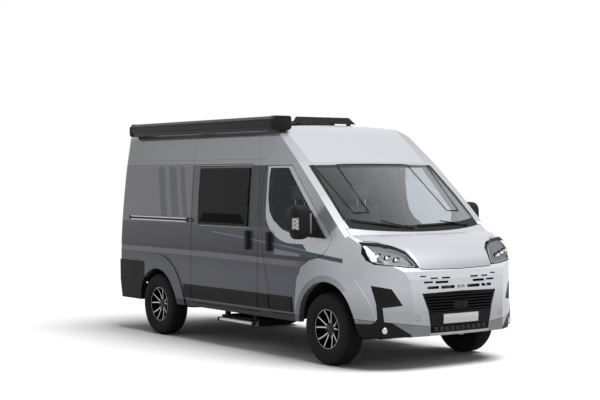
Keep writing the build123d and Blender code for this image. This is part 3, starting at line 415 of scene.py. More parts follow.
# %% [markdown]
# ## Moulded plastics
# Bumper corners, mouldings and mirrors are moulded in black plastic. The mould has a
# fine leather-like texture that breaks up the light, so the plastic looks dull.


# %% Grained plastic
def plastic(name, colour, roughness=0.55, grain=900.0, depth=0.00025):
    finish = Finish(name, colour, roughness, Specular_IOR_Level=0.10)
    lighter = tuple(min(1.0, 1.25 * c + 0.004) for c in colour)
    finish.vary(finish.noise(2.2, 3.0), 0.16, roughness - 0.08, colour, lighter)
    finish.bump(finish.cells(grain), depth, 0.5)
    return finish


black_plastic = plastic("black moulding", (0.017, 0.017, 0.018))
soft_black = plastic("black rubber seal", (0.012, 0.012, 0.012), 0.65)
dress("scuttle_panel bumper_corners rear_bumper door_trim_right door_trim_left", black_plastic)
dress("grille", plastic("grille black", (0.006, 0.006, 0.006), 0.45))
dress("side_trims wind_deflector", black_plastic)
dress("wheel_housings", plastic("wheel arch liner", (0.010, 0.010, 0.010), 0.8, 300.0))
dress("dashboard steering_wheel bulkhead", plastic("cab plastic", (0.045, 0.046, 0.050), 0.6))

# %% Metals underneath and on the roof
def metal(name, colour, roughness, stretch=(1.0, 1.0, 1.0)):
    finish = Finish(name, colour, roughness, 1.0)
    grain = finish.noise(60.0, 4.0, 0.6, finish.stretched(*stretch))
    finish.vary(grain, 0.25, roughness - 0.1, tuple(0.7 * c for c in colour), colour)
    finish.bump(grain, 0.0003, 0.3)
    return finish


dark_steel = metal("underbody steel", (0.030, 0.030, 0.032), 0.55)
cast_metal = metal("cast iron", (0.06, 0.06, 0.06), 0.65)
bright_metal = metal("brushed aluminium", (0.62, 0.62, 0.63), 0.3, (1.0, 40.0, 40.0))
dress("underbody front_rails exhaust front_suspension", dark_steel)
dress("engine_block rear_axle knuckle_right knuckle_left", cast_metal)
dress("entry_step radiator", bright_metal)
dress("fuel_tank step_housing", plastic("tank plastic", (0.012, 0.012, 0.012), 0.7))

# %% Awning cassette: black powder coat
dress("awning", plastic("cassette powder coat", (0.040, 0.040, 0.041), 0.42, 1600.0, 0.0001))


# %% [markdown]
# ## Glass
# Thin glass in a path tracer is cheapest as a mix of a clear, slightly tinted
# transparent shader and a sharp reflection. The share of reflection is small when the
# pane is seen straight on and grows as the fifth power towards its edge.


# %% Window glass
def pane(name, tint, reflect=0.0, border=None, painted_reflection=None):
    """Tinted clear glass; border(x, y, z) is where black print hides the glue."""
    finish = Finish(name, (0.012, 0.013, 0.014), 0.08)
    finish.vary(finish.noise(3.0, 3.0), 0.05, 0.05, (0.008, 0.009, 0.009), (0.014, 0.015, 0.016))
    clear = finish.node("ShaderNodeBsdfTransparent", {}, {"Color": (*tint, 1.0)})
    sharp = {"Color": (0.92, 0.93, 0.96, 1.0), "Roughness": 0.02}
    mirror = finish.node("ShaderNodeBsdfAnisotropic", {}, sharp)
    amount = finish.glance() + reflect
    # a painted reflection raises the mirror's share by place on the pane
    if painted_reflection:
        amount = amount + painted_reflection(*finish.xyz())
    glass = finish.blend(amount.smaller(1.0), clear, mirror)
    print_share = border(*finish.xyz()) if border else 0.03
    finish.show(finish.blend(print_share, glass, finish.own()))
    return finish


def screen_border(x, y, z):
    side = (abs(y) + z * 0.073 - 0.976).above(0.0, 0.004)
    foot = (z + abs(y) * abs(y) * -0.09 - 1.385).below(0.0, 0.01)
    return side.larger(z.above(2.050, 0.004)).larger(foot)


def screen_painted_reflection(x, y, z):
    """Painted reflection: the raked screen mirrors more of the room towards the van's left."""
    return y.above(0.45, 2.2) * 0.22


dress("windscreen", pane("windscreen glass", (0.88, 0.90, 0.92), 0.0, screen_border, screen_painted_reflection))
dress("door_glass_right door_glass_left", pane("door glass", (0.70, 0.73, 0.74), -0.035))
dress("rear_glass_right rear_glass_left", pane("dark rear glass", (0.12, 0.13, 0.14), -0.02))
dress("skylights", plastic("skylight dome", (0.20, 0.205, 0.21), 0.2))

# %% Camper windows are smoked acrylic
acrylic = Finish("smoked acrylic", (0.008, 0.009, 0.009), 0.06, Specular_IOR_Level=0.02)
ripple = acrylic.noise(1.6, 1.0)
acrylic.vary(ripple, 0.06, 0.03, (0.002, 0.002, 0.002), (0.006, 0.006, 0.006))
acrylic.bump(ripple, 0.002, 0.25)
# the blind's pocket is a black strip with slanting ends, and a black print runs round
wide, _, tall = acrylic.xyz()
pocket = tall.between(1.412, 1.520) * (abs(wide + 0.235) + (tall - 1.41) * 0.8).below(0.49)
edge = abs(wide + 0.217).above(0.507).larger(abs(tall - 1.7125).above(0.308))
acrylic.set(Coat_Weight=(1.0 - pocket.larger(edge)) * 0.22)
dress("camper_windows", acrylic)

# %% Lamp lenses
lens = Finish("lamp lens", (0.55, 0.57, 0.60), 0.08, 0.3, Coat_Weight=1.0)
lens.vary(lens.noise(20.0), 0.05, 0.05)
dress("headlamps", lens)

# %% Tail lamps: red, with a white and an amber segment between dark bars
TAIL_BARS = (1.012, 1.111, 1.207)
tail = Finish("red tail lens", (0.35, 0.010, 0.012), 0.15, Specular_IOR_Level=0.25)
height = tail.xyz()[2]
tail_colour = tail.mix(tail.noise(30.0), (0.28, 0.006, 0.008), (0.38, 0.010, 0.012))
tail_colour = tail.mix(height.between(1.02, 1.105, 0.004), tail_colour, (0.60, 0.60, 0.62))
tail_colour = tail.mix(height.between(1.118, 1.200, 0.004), tail_colour, (0.42, 0.10, 0.02))
for middle in TAIL_BARS:
    tail_colour = tail.mix(abs(height - middle).below(0.004), tail_colour, (0.03, 0.005, 0.006))
tail.set(Base_Color=tail_colour)
dress("tail_lamps", tail)

# %% Plate, cloth and wood
plate_white = Finish("plate white", (0.82, 0.83, 0.84), 0.35)
pores = plate_white.noise(300.0)
plate_white.set(Base_Color=plate_white.mix(pores, (0.78, 0.79, 0.80), (0.84, 0.85, 0.86)))
dress("number_plate", plate_white)


def cloth(name, colour, thread=700.0):
    finish = Finish(name, colour, 0.9, Sheen_Weight=0.3)
    warp, weft, rise = ((axis * thread).math("SINE") for axis in finish.xyz())
    weave = (warp + weft + rise) * 0.17 + 0.5
    tone = finish.noise(9.0, 3.0)
    finish.set(Base_Color=finish.mix(weave * 0.5 + tone * 0.5, tuple(0.75 * c for c in colour), colour))
    finish.bump(weave, 0.0006, 0.5)
    return finish


seat_cloth = cloth("seat cloth", (0.55, 0.545, 0.54))
bed_cloth = cloth("bed cloth", (0.30, 0.30, 0.31))
dress("cab_seats", seat_cloth)
dress("cushions", bed_cloth)

wood = Finish("light wood laminate", (0.50, 0.42, 0.33), 0.45)
rings = wood.noise(7.0, 4.0, 0.6, wood.stretched(0.6, 6.0, 6.0))
wood.vary(rings, 0.2, 0.35, (0.40, 0.33, 0.25), (0.56, 0.48, 0.38))
wood.bump(rings, 0.0004, 0.3)
dress("furniture", wood)

# %% Wheels
rubber = plastic("tyre rubber", (0.024, 0.024, 0.025), 0.8, 500.0)
rim_black = Finish("wheel black lacquer", (0.010, 0.010, 0.011), 0.25, 0.0, Specular_IOR_Level=0.25)
rim_black.vary(rim_black.noise(40.0), 0.1, 0.2)
for corner in ("front_left", "front_right", "rear_left", "rear_right"):
    dress("tyre_" + corner, rubber)
    dress("rim_" + corner, rim_black)

# %% [markdown]
# ## Helpers that make pieces
# Most trim is either turned about an axle, swept along a path, or repeated. These
# helpers return plain meshes; the last one puts a mesh on a body of the van so that it
# moves with its door or wheel.


# %% Mesh helpers
X, Y, Z = (1, 0, 0), (0, 1, 0), (0, 0, 1)
SIDES = {"left": 1, "right": -1}


def clean(bm):
    """Merge doubles and point the faces outwards."""
    bmesh.ops.remove_doubles(bm, verts=bm.verts, dist=1e-6)
    bmesh.ops.recalc_face_normals(bm, faces=bm.faces)
    mesh = bpy.data.meshes.new("shape")
    bm.to_mesh(mesh)
    bm.free()
    return mesh


def from_points(points, faces):
    bm = bmesh.new()
    verts = [bm.verts.new(point) for point in points]
    for face in faces:
        bm.faces.new([verts[i] for i in face])
    return clean(bm)


def lattice(rings, count, closed=False):
    """Corner numbers of the quads between neighbouring rings of count points each."""
    faces = []
    for ring in range(rings if closed else rings - 1):
        low, high = ring * count, (ring + 1) % rings * count
        for j in range(count):
            k = (j + 1) % count
            faces.append((low + j, high + j, high + k, low + k))
    return faces


def end_faces(rings, count):
    """The first and the last ring as faces."""
    return [tuple(range(count)), tuple((rings - 1) * count + j for j in range(count))]


def turned(profile, steps=64):
    """Turn a closed line of (radius, y) points about the y axis."""
    points = []
    for i in range(steps):
        angle = 2 * math.pi * i / steps
        points += [(r * math.sin(angle), y, r * math.cos(angle)) for r, y in profile]
    return from_points(points, lattice(steps, len(profile), closed=True))


def swept(path, section, closed=False, up=Z):
    """Sweep a small (across, high) section along a path of points."""
    path = [Vector(point) for point in path]
    last = len(path) - 1
    points = []
    for i, point in enumerate(path):
        before = path[i - 1] if i or closed else point
        after = path[(i + 1) % len(path)] if i < last or closed else point
        along = (after - before).normalized()
        side = along.cross(Vector(up)).normalized()
        high = side.cross(along)
        points += [point + side * a + high * b for a, b in section]
    ends = [] if closed else end_faces(len(path), len(section))
    return from_points(points, lattice(len(path), len(section), closed) + ends)


def circle(radius, count=12):
    angles = [2 * math.pi * i / count for i in range(count)]
    return [(radius * math.cos(a), radius * math.sin(a)) for a in angles]


def rounded_block(low, high, radius, steps=3):
    """A box between two corners with rounded edges."""
    bm = bmesh.new()
    bmesh.ops.create_cube(bm, size=1.0)
    low, high = Vector(low), Vector(high)
    for vert in bm.verts:
        vert.co = Vector(low[i] + (vert.co[i] + 0.5) * (high[i] - low[i]) for i in range(3))
    bmesh.ops.bevel(bm, geom=bm.edges[:], offset=radius, segments=steps, profile=0.5, affect="EDGES")
    return clean(bm)


def prism(outline, depth, across, along, out, centre=(0, 0, 0), bevel=0.0):
    """Extrude a flat outline; across, along and out are its three directions."""
    across, along, out, centre = (Vector(v) for v in (across, along, out, centre))
    bm = bmesh.new()
    face = bm.faces.new([bm.verts.new(centre + across * u + along * v) for u, v in outline])
    grown = bmesh.ops.extrude_face_region(bm, geom=[face])
    for vert in grown["geom"]:
        if isinstance(vert, bmesh.types.BMVert):
            vert.co += out * depth
    bmesh.ops.recalc_face_normals(bm, faces=bm.faces)
    if bevel:
        bmesh.ops.bevel(bm, geom=bm.edges[:], offset=bevel, segments=2, profile=0.5, affect="EDGES")
    return clean(bm)


def joined(meshes):
    bm = bmesh.new()
    for mesh in meshes:
        bm.from_mesh(mesh)
    result = bpy.data.meshes.new("shape")
    bm.to_mesh(result)
    bm.free()
    return result


def moved(mesh, place=(0, 0, 0), side=1):
    """A copy of a mesh at a place; side -1 makes its twin on the van's right."""
    copy = mesh.copy()
    if side < 0:
        copy.transform(Matrix.Diagonal((1, -1, 1, 1)))
        copy.flip_normals()
    copy.transform(Matrix.Translation(place))
    return copy


def both_sides(mesh):
    return joined([mesh, moved(mesh, side=-1)])


def add_piece(name, mesh, finish, body="body", smooth=35.0):
    """Put a finished mesh on a body of the van."""
    mesh.name = name
    mesh.materials.clear()
    mesh.materials.append(finish.material)
    mesh.shade_smooth()
    mesh.set_sharp_from_angle(angle=math.radians(smooth))
    piece = bpy.data.objects.new(name, mesh)
    bpy.context.scene.collection.objects.link(piece)
    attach(piece, body)
    return piece


# %% [markdown]
# ## A recipe for repeated parts
# Spokes, nuts, tread blocks, slats and ribs are one shape many times over. Geometry
# Nodes place the copies by a rule whose sizes are named inputs. The result is turned
# into a plain mesh, so nothing depends on the node tree later.


# %% Geometry Nodes recipes
class Recipe:
    """A Geometry Nodes tree with named inputs that repeats one shape."""

    def __init__(self, name, **sizes):
        self.tree = bpy.data.node_groups.new(name, "GeometryNodeTree")
        kinds = {int: "Int", float: "Float", tuple: "Vector"}
        self.socket("Shape", "INPUT", "Geometry")
        for label, value in sizes.items():
            self.socket(label, "INPUT", kinds[type(value)]).default_value = value
        self.socket("Finish", "INPUT", "Material")
        self.socket("Result", "OUTPUT", "Geometry")
        self.inputs = self.tree.nodes.new("NodeGroupInput").outputs
        self.result = self.tree.nodes.new("NodeGroupOutput")

    def socket(self, label, way, kind):
        return self.tree.interface.new_socket(label, in_out=way, socket_type="NodeSocket" + kind)

    def node(self, kind, settings=None, **links):
        made = self.tree.nodes.new(kind)
        for name, value in (settings or {}).items():
            setattr(made, name, value)
        for key, value in links.items():
            socket = made.inputs[int(key[1:]) if key[0] == "_" else key]
            if isinstance(value, bpy.types.NodeSocket):
                self.tree.links.new(value, socket)
            else:
                socket.default_value = value
        return made.outputs[0]

    def close(self, geometry):
        real = self.node("GeometryNodeRealizeInstances", Geometry=geometry)
        done = self.node("GeometryNodeSetMaterial", Geometry=real, Material=self.inputs["Finish"])
        self.tree.links.new(done, self.result.inputs[0])

    def grow(self, shape, finish, **values):
        """Run the recipe on a mesh and return the plain result."""
        carrier = bpy.data.objects.new("carrier", shape)
        bpy.context.scene.collection.objects.link(carrier)
        modifier = carrier.modifiers.new("recipe", "NODES")
        modifier.node_group = self.tree
        names = {item.name: item.identifier for item in self.tree.interface.items_tree}
        for label, value in {**values, "Finish": finish.material}.items():
            modifier[names[label]] = value
        depsgraph = bpy.context.evaluated_depsgraph_get()
        result = bpy.data.meshes.new_from_object(carrier.evaluated_get(depsgraph), depsgraph=depsgraph)
        carrier.modifiers.clear()
        bpy.data.objects.remove(carrier)
        return result


# %% Recipe: copies round the wheel's axle
round_axle = Recipe("copies round an axle", Count=5, Start=0.0)
points = round_axle.node("GeometryNodeMeshLine", Count=round_axle.inputs["Count"], Offset=(0.0, 0.0, 0.0))
index = round_axle.node("GeometryNodeInputIndex")
share = round_axle.node("ShaderNodeMath", {"operation": "DIVIDE"}, _0=index, _1=round_axle.inputs["Count"])
angle = round_axle.node("ShaderNodeMath", {"operation": "MULTIPLY"}, _0=share, _1=2 * math.pi)
angle = round_axle.node("ShaderNodeMath", {"operation": "ADD"}, _0=angle, _1=round_axle.inputs["Start"])
turn = round_axle.node("ShaderNodeCombineXYZ", Y=angle)
copies = round_axle.node(
    "GeometryNodeInstanceOnPoints", Points=points, Instance=round_axle.inputs["Shape"], Rotation=turn
)
round_axle.close(copies)
print("recipe:", round_axle.tree.name)

# %% Recipe: copies in a row
in_row = Recipe("copies in a row", Count=5, Step=(0.1, 0.0, 0.0))
row_points = in_row.node("GeometryNodeMeshLine", Count=in_row.inputs["Count"], Offset=in_row.inputs["Step"])
row_copies = in_row.node("GeometryNodeInstanceOnPoints", Points=row_points, Instance=in_row.inputs["Shape"])
in_row.close(row_copies)
print("recipe:", in_row.tree.name)


# %% [markdown]
# ## Finding the surface of a panel
# Lamps and trim sit on curved panels. A ray shot at the panel's mesh gives the exact
# spot and the direction in which the surface faces there.


# %% Rays on to the frame
def surface_of(*names):
    """Search trees over the meshes of CAD nodes."""
    points, faces = [], []
    for name in names:
        mesh = NODES[name].data
        start = len(points)
        points += [vert.co.copy() for vert in mesh.vertices]
        faces += [tuple(start + i for i in face.vertices) for face in mesh.polygons]
    return BVHTree.FromPolygons(points, faces)


# how far ahead, aside and above the rays start
AHEAD, ASIDE, ABOVE = 6, 4, 3


def ray(tree, start, along):
    """Spot and outward direction where a ray first meets a surface."""
    return tree.ray_cast(Vector(start), Vector(along))[:2]


def from_front(tree, y, z):
    return ray(tree, (AHEAD, y, z), (-1, 0, 0))


def from_behind(tree, y, z):
    return ray(tree, (-AHEAD, y, z), (1, 0, 0))


def from_side(tree, x, z, side):
    return ray(tree, (x, ASIDE * side, z), (0, -side, 0))


def on_nose(tree, y, z, lift):
    """A spot lifted off the nose; past its edge, the nearest spot serves."""
    spot, normal = from_front(tree, y, z)
    if spot is None:
        spot, normal = tree.find_nearest(Vector((2.3, y, z)))[:2]
    return spot + normal * lift


def on_side(tree, x, z, side, lift):
    spot, normal = from_side(tree, x, z, side)
    return spot + normal * lift


# %% [markdown]
# ## Tyres
# A road tyre is a bulging carcass with rows of rubber blocks. The carcass is turned
# from a line of points; one pitch of blocks is modelled and the recipe repeats it
# round the axle.

# %% Tyre sizes
TYRE = {"radius": FRONT_AXLE["z"], "pitches": 66}
CARCASS = [
    (0.2125, 0.088), (0.220, 0.0985), (0.232, 0.1025), (0.236, 0.1065), (0.245, 0.1075),
    (0.262, 0.1105), (0.290, 0.1122), (0.318, 0.1112), (0.338, 0.1072), (0.349, 0.1005),
    (0.357, 0.0900), (0.3625, 0.070), (0.3640, 0.035),
]
carcass_profile = CARCASS + [(0.3642, 0.0)] + [(r, -y) for r, y in reversed(CARCASS)]
# tread ribs: inner y, outer y, radius at each, stagger along the tread
RIBS = [(-0.101, -0.071, 0.3555, 0.3712, 0.0), (-0.063, -0.026, 0.3715, 0.372, 0.5),
        (-0.018, 0.018, 0.372, 0.372, 0.15), (0.026, 0.063, 0.372, 0.3715, 0.5),
        (0.071, 0.101, 0.3712, 0.3555, 0.0)]
pitch_angle = 2 * math.pi / TYRE["pitches"]


def tread_pitch():
    """One pitch of tread blocks at the top of the wheel."""
    blocks = []
    for y0, y1, r0, r1, stagger in RIBS:
        start = pitch_angle * stagger
        end = start + pitch_angle * 0.80
        skew = 0.18 * pitch_angle * (1 if y0 < 0 else -1)
        points = []
        for deep, inset in ((0.010, 0.0), (0.0, 0.0012)):
            for y, r, s in ((y0 + inset, r0, 0.0), (y1 - inset, r1, skew)):
                for a in (start + s + inset * 3, end + s - inset * 3):
                    points.append(((r - deep) * math.sin(a), y, (r - deep) * math.cos(a)))
        faces = [(0, 1, 3, 2), (4, 5, 7, 6), (0, 1, 5, 4), (2, 3, 7, 6), (0, 2, 6, 4), (1, 3, 7, 5)]
        blocks.append(from_points(points, faces))
    return joined(blocks)


tread = round_axle.grow(tread_pitch(), rubber, Count=TYRE["pitches"])
carcass = turned(carcass_profile, 96)
tyre_shape = joined([carcass, tread])
print("tyre triangles:", sum(len(face.vertices) - 2 for face in tyre_shape.polygons))

# %% [markdown]
# ## Wheels
# Each alloy wheel is a black barrel with five pairs of spokes. The face of every spoke
# and the lip are machined bright. One pair of spokes is built and the recipe turns it
# five times round the axle, the same for the five wheel nuts.

# %% Barrel and hub
BARREL = [
    (0.2112, -0.088), (0.2112, 0.088), (0.2105, 0.0905), (0.2020, 0.0920), (0.1985, 0.0890),
    (0.1930, 0.0600), (0.1880, 0.0100), (0.1840, -0.0700), (0.2040, -0.0900),
]
HUB = [
    (0.0, 0.056), (0.030, 0.056), (0.033, 0.050), (0.070, 0.050), (0.079, 0.044), (0.083, 0.012),
    (0.0, 0.012),
]
RIM_LIP = [
    (0.2030, 0.0915), (0.2030, 0.0926), (0.2010, 0.0932), (0.1992, 0.0925), (0.1992, 0.0900),
    (0.2012, 0.0912),
]
HUB_CAP = [(0.0, 0.062), (0.016, 0.0612), (0.026, 0.0588), (0.0285, 0.056), (0.0, 0.054)]
SPOKE_STEPS = 8


def spoke_section(share, side):
    """Centre, half width, front y and depth of a spoke at a share of its length."""
    radius = 0.066 + share * 0.131
    angle = side * math.radians(11.0 + 6.5 * share)
    front = 0.050 + 0.034 * share ** 1.5
    return radius, angle, 0.0085 - 0.0010 * share, front, 0.034 - 0.008 * share


def beam(side, low_inset, high_inset, low_drop, raise_front):
    """A spoke as a tapered beam; the bright face is the same rule, narrower and thin."""
    points = []
    for i in range(SPOKE_STEPS + 1):
        radius, angle, half, front, depth = spoke_section(i / SPOKE_STEPS, side)
        centre = Vector((radius * math.sin(angle), 0, radius * math.cos(angle)))
        across = Vector((math.cos(angle), 0, -math.sin(angle)))
        high = front + raise_front
        back = front - depth * low_drop
        shoulder = (half - low_inset * 0.2, high - 0.003 * low_drop)
        right = [(half - high_inset, high), shoulder, (half - low_inset, back)]
        left = [(-a, y) for a, y in right]
        rows = [left[0], *right, left[2], left[1]]
        points += [centre + across * a + Vector((0, y, 0)) for a, y in rows]
    rings, count = SPOKE_STEPS + 1, len(rows)
    return from_points(points, lattice(rings, count) + end_faces(rings, count))


spoke_pair = joined([beam(side, 0.003, 0.0015, 1.0, 0.0) for side in (-1, 1)])
face_pair = joined([beam(side, 0.0062, 0.0060, 0.03, 0.0009) for side in (-1, 1)])
spokes = round_axle.grow(spoke_pair, rim_black, Count=5)
barrel_and_spokes = joined([turned(BARREL, 96), turned(HUB, 48), turned(HUB_CAP, 32), spokes])
print("corners in a pair of spokes:", len(spoke_pair.vertices))

# %% Bright faces, lip and nuts
hexagon = [(0.0105 * math.cos(math.pi * i / 3), 0.0105 * math.sin(math.pi * i / 3)) for i in range(6)]
nut = prism(hexagon, 0.014, X, Z, Y, (0, 0.046, 0.056), 0.0015)
machined = Finish("machined wheel face", (0.50, 0.50, 0.51), 0.30, 0.8)
machined.vary(machined.noise(500.0, 2.0), 0.12, 0.18, (0.40, 0.40, 0.41), (0.58, 0.58, 0.59))
faces_shape = round_axle.grow(face_pair, machined, Count=5)
nuts_shape = round_axle.grow(nut, machined, Count=5, Start=math.pi / 5)
wheel_bright = joined([faces_shape, turned(RIM_LIP, 96)])
wheel_dark = joined([barrel_and_spokes, nuts_shape])
print("corners in the bright faces and lip:", len(wheel_bright.vertices))

# %% Four wheels
# where each axle is along x, and half its track
AXLES = {"front": (FRONT_AXLE["x"], 0.905), "rear": (-1.6915, 0.895)}
for end, (x, half_track) in AXLES.items():
    for side, sign in SIDES.items():
        corner = end + "_" + side
        place = (x, sign * half_track, TYRE["radius"])
        body = "wheel_" + corner
        tyre = add_piece("tyre_tread_" + corner, moved(tyre_shape, place, sign), rubber, body, 30.0)
        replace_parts(tyre, "tyre_" + corner)
        dark = moved(wheel_dark, place, sign)
        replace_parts(add_piece("wheel_spokes_" + corner, dark, rim_black, body, 30.0), "rim_" + corner)
        bright = moved(wheel_bright, place, sign)
        add_piece("wheel_faces_" + corner, bright, machined, body, 30.0)
print("wheels at", AXLES)

# %% [markdown]
# ## Headlamps
# A modern lamp is a clear cover over a deep, dark bowl. The cover follows the nose, so
# its outline is drawn flat, seen from the front, and rays carry it on to the panel. The
# bowl is the same patch pushed back, with a wall round it.


# %% Patches that follow a panel
def spaced(outline, step=0.03):
    """Points along a closed outline, no further apart than a step."""
    points = []
    for i, start in enumerate(outline):
        end = outline[(i + 1) % len(outline)]
        parts = max(1, round(math.dist(start, end) / step))
        for k in range(parts):
            share = k / parts
            points.append(tuple(a + (b - a) * share for a, b in zip(start, end)))
    return points


def patch(tree, outline, rings, centre=None, hollow=False):
    """Mesh over an outline; rings are (share of the size, lift, push back along x)."""
    edge = spaced(outline)
    centre = centre or [sum(c) / len(edge) for c in zip(*edge)]
    points = []
    for share, lift, back in rings:
        for at in edge:
            at = [c + (v - c) * share for v, c in zip(at, centre)]
            points.append(on_nose(tree, *at, lift) - Vector((back, 0, 0)))
    count = len(edge)
    faces = [(a, d, c, b) for a, b, c, d in lattice(len(rings), count)]
    if not hollow:
        points.append(on_nose(tree, *centre, rings[-1][1]) - Vector((rings[-1][2], 0, 0)))
        start = (len(rings) - 1) * count
        faces += [(start + j, start + (j + 1) % count, len(points) - 1) for j in range(count)]
    return from_points([tuple(point) for point in points], faces)


# %% Lamp cover, bowl and bezel
LAMP = [
    (0.494, 1.028), (0.515, 1.097), (0.553, 1.179), (0.632, 1.223), (0.766, 1.268), (0.944, 1.283),
    (0.979, 1.282), (0.979, 1.185), (0.961, 1.106), (0.917, 1.069), (0.808, 1.057), (0.621, 1.034),
]
LAMP_CENTRE = (0.75, 1.15)
lamp_skin = surface_of("headlamps")
COVER_RINGS = [(share, -0.0015, 0.0) for share in (1.0, 0.8, 0.5, 0.25)]
BOWL_RINGS = [
    (1.0, -0.003, 0.0), (0.92, -0.006, 0.0), (0.90, -0.006, 0.030), (0.6, -0.006, 0.034),
    (0.3, -0.006, 0.034),
]
BEZEL_RINGS = [(1.0, -0.002, 0.0), (0.93, -0.0035, 0.0)]

clear = Finish("clear lamp cover", (0.02, 0.02, 0.02), 0.03, Specular_IOR_Level=0.4)
clear.vary(clear.noise(8.0), 0.03, 0.02)
through = clear.node("ShaderNodeBsdfTransparent", {}, {"Color": (0.93, 0.94, 0.95, 1.0)})
clear.show(clear.blend(clear.glance(), through, clear.own()))

bowl = Finish("lamp bowl", (0.35, 0.355, 0.37), 0.35, 0.3)
bowl.vary(bowl.noise(60.0, 2.0), 0.2, 0.25, (0.15, 0.153, 0.162), (0.26, 0.264, 0.276))
gloss_black = plastic("gloss black", (0.010, 0.010, 0.011), 0.25, 1500.0, 0.00005)


def lamp_piece(name, meshes, finish, smooth=35.0):
    """Add the twins of some meshes to both lamps."""
    return add_piece(name, both_sides(joined(meshes)), finish, "body", smooth)


lamp_cover = patch(lamp_skin, LAMP, COVER_RINGS, LAMP_CENTRE)
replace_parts(lamp_piece("headlamp_covers", [lamp_cover], clear, 50.0), "headlamps")
lamp_piece("headlamp_bowls", [patch(lamp_skin, LAMP, BOWL_RINGS, LAMP_CENTRE)], bowl)
bezel = patch(lamp_skin, LAMP, BEZEL_RINGS, LAMP_CENTRE, hollow=True)
lamp_piece("headlamp_bezels", [bezel], gloss_black)
print("lamp cover points:", len(lamp_cover.vertices))

# %% Daytime light, modules and bright lines
DAY_LIGHT = [
    (0.966, 1.250), (0.925, 1.252), (0.905, 1.170), (0.902, 1.090), (0.935, 1.096), (0.955, 1.160),
]
MODULES = [(0.866, 1.160), (0.778, 1.140), (0.690, 1.118)]
BRIGHT_LINES = [
    [(0.72, 1.222), (0.64, 1.196), (0.577, 1.158), (0.541, 1.095), (0.524, 1.050)],
    [(0.905, 1.082), (0.81, 1.070), (0.63, 1.050), (0.535, 1.044)],
]

glow = Finish("daytime light", (0.90, 0.92, 0.93), 0.3, Emission_Strength=0.75)
streak = glow.noise(40.0, 1.0)
glow.set(Emission_Color=glow.mix(streak, (0.80, 0.84, 0.86), (1.0, 1.0, 1.0)))
chrome = Finish("lamp chrome", (0.80, 0.81, 0.82), 0.12, 1.0)
chrome.vary(chrome.noise(30.0), 0.1, 0.08)
# blocks in a module: finish, low and high corner from its face, rounding and its steps
MODULE_BLOCKS = {
    "housings": (gloss_black, (-0.020, -0.036, -0.026), (0.0, 0.036, 0.026), 0.006, 2),
    # the reflectors carry the daytime light's emission: a painted glow, as they are no lamp
    "painted_glow_reflectors": (glow, (-0.002, 0.002, -0.012), (0.0015, 0.028, 0.018), 0.0015, 1),
    "lenses": (chrome, (-0.002, -0.026, -0.016), (0.0035, -0.006, 0.010), 0.003, 2),
}

day_light = patch(lamp_skin, DAY_LIGHT, [(1.0, -0.0045, 0.0), (0.5, -0.0045, 0.0)])
lamp_piece("daytime_lights", [day_light], glow)
module_faces = [on_nose(lamp_skin, y, z, -0.016) for y, z in MODULES]
for part, (finish, low, high, radius, steps) in MODULE_BLOCKS.items():
    blocks = [rounded_block(at + Vector(low), at + Vector(high), radius, steps) for at in module_faces]
    lamp_piece("lamp_module_" + part, blocks, finish)
lines = [[on_nose(lamp_skin, y, z, -0.008) for y, z in line] for line in BRIGHT_LINES]
lamp_piece("lamp_bright_lines", [swept(line, circle(0.0035, 8)) for line in lines], chrome)
print("modules a side:", len(MODULES))

# %% [markdown]
# ## Nose trim
# The bonnet closes on a rubber seal. Round fog lamps sit in the black lower corners,
# and the grille gets a dark backing, upright ribs, a plain sensor cover and the lower
# row of blocks.

# %% Seal under the bonnet's edge
nose_skin = surface_of("front_bumper", "bonnet", "grille", "bumper_corners")
bonnet_skin = surface_of("bonnet")


def bonnet_edge(y):
    """Height of the bonnet's front edge at y, found by stepping up."""
    z = 0.96
    while from_front(bonnet_skin, y, z)[0] is None and z < 1.3:
        z += 0.002
    return z


seal_path = []
for i in range(25):
    y = -0.50 + i / 24
    seal_path.append(on_nose(bonnet_skin, y, bonnet_edge(y) + 0.004, 0.0) + Vector((-0.006, 0, -0.009)))
seal = swept(seal_path, [(a * 0.8, b * 1.25) for a, b in circle(0.0085, 10)])
add_piece("bonnet_seal", seal, soft_black)
print("bonnet edge in the middle:", round(bonnet_edge(0.0), 3))

# %% Fog lamps and parking sensors
FOG = {"y": 0.846, "z": 0.412, "radius": 0.036}
SENSOR = {"y": 0.562, "z": 0.533, "wide": 0.048, "high": 0.042}
SQUARE = [(-1, -1), (1, -1), (1, 1), (-1, 1)]
# (share of the radius, height) of the lamp's dome and of the ring round it
DOME = [(0.0, 0.010), (0.4, 0.0092), (0.75, 0.006), (1.0, -0.002), (1.0, -0.012), (0.0, -0.012)]
FOG_RING = [(1.0, -0.012), (1.0, 0.004), (1.14, 0.003), (1.18, -0.002), (1.18, -0.012)]


def facing_out(profile, radius, spot, normal):
    """A turned disc whose axis is the panel's own direction, on both sides."""
    mesh = turned([(r * radius, y) for r, y in profile], 32)
    mesh.transform(Vector(normal).to_track_quat("Y", "Z").to_matrix().to_4x4())
    return both_sides(moved(mesh, spot))


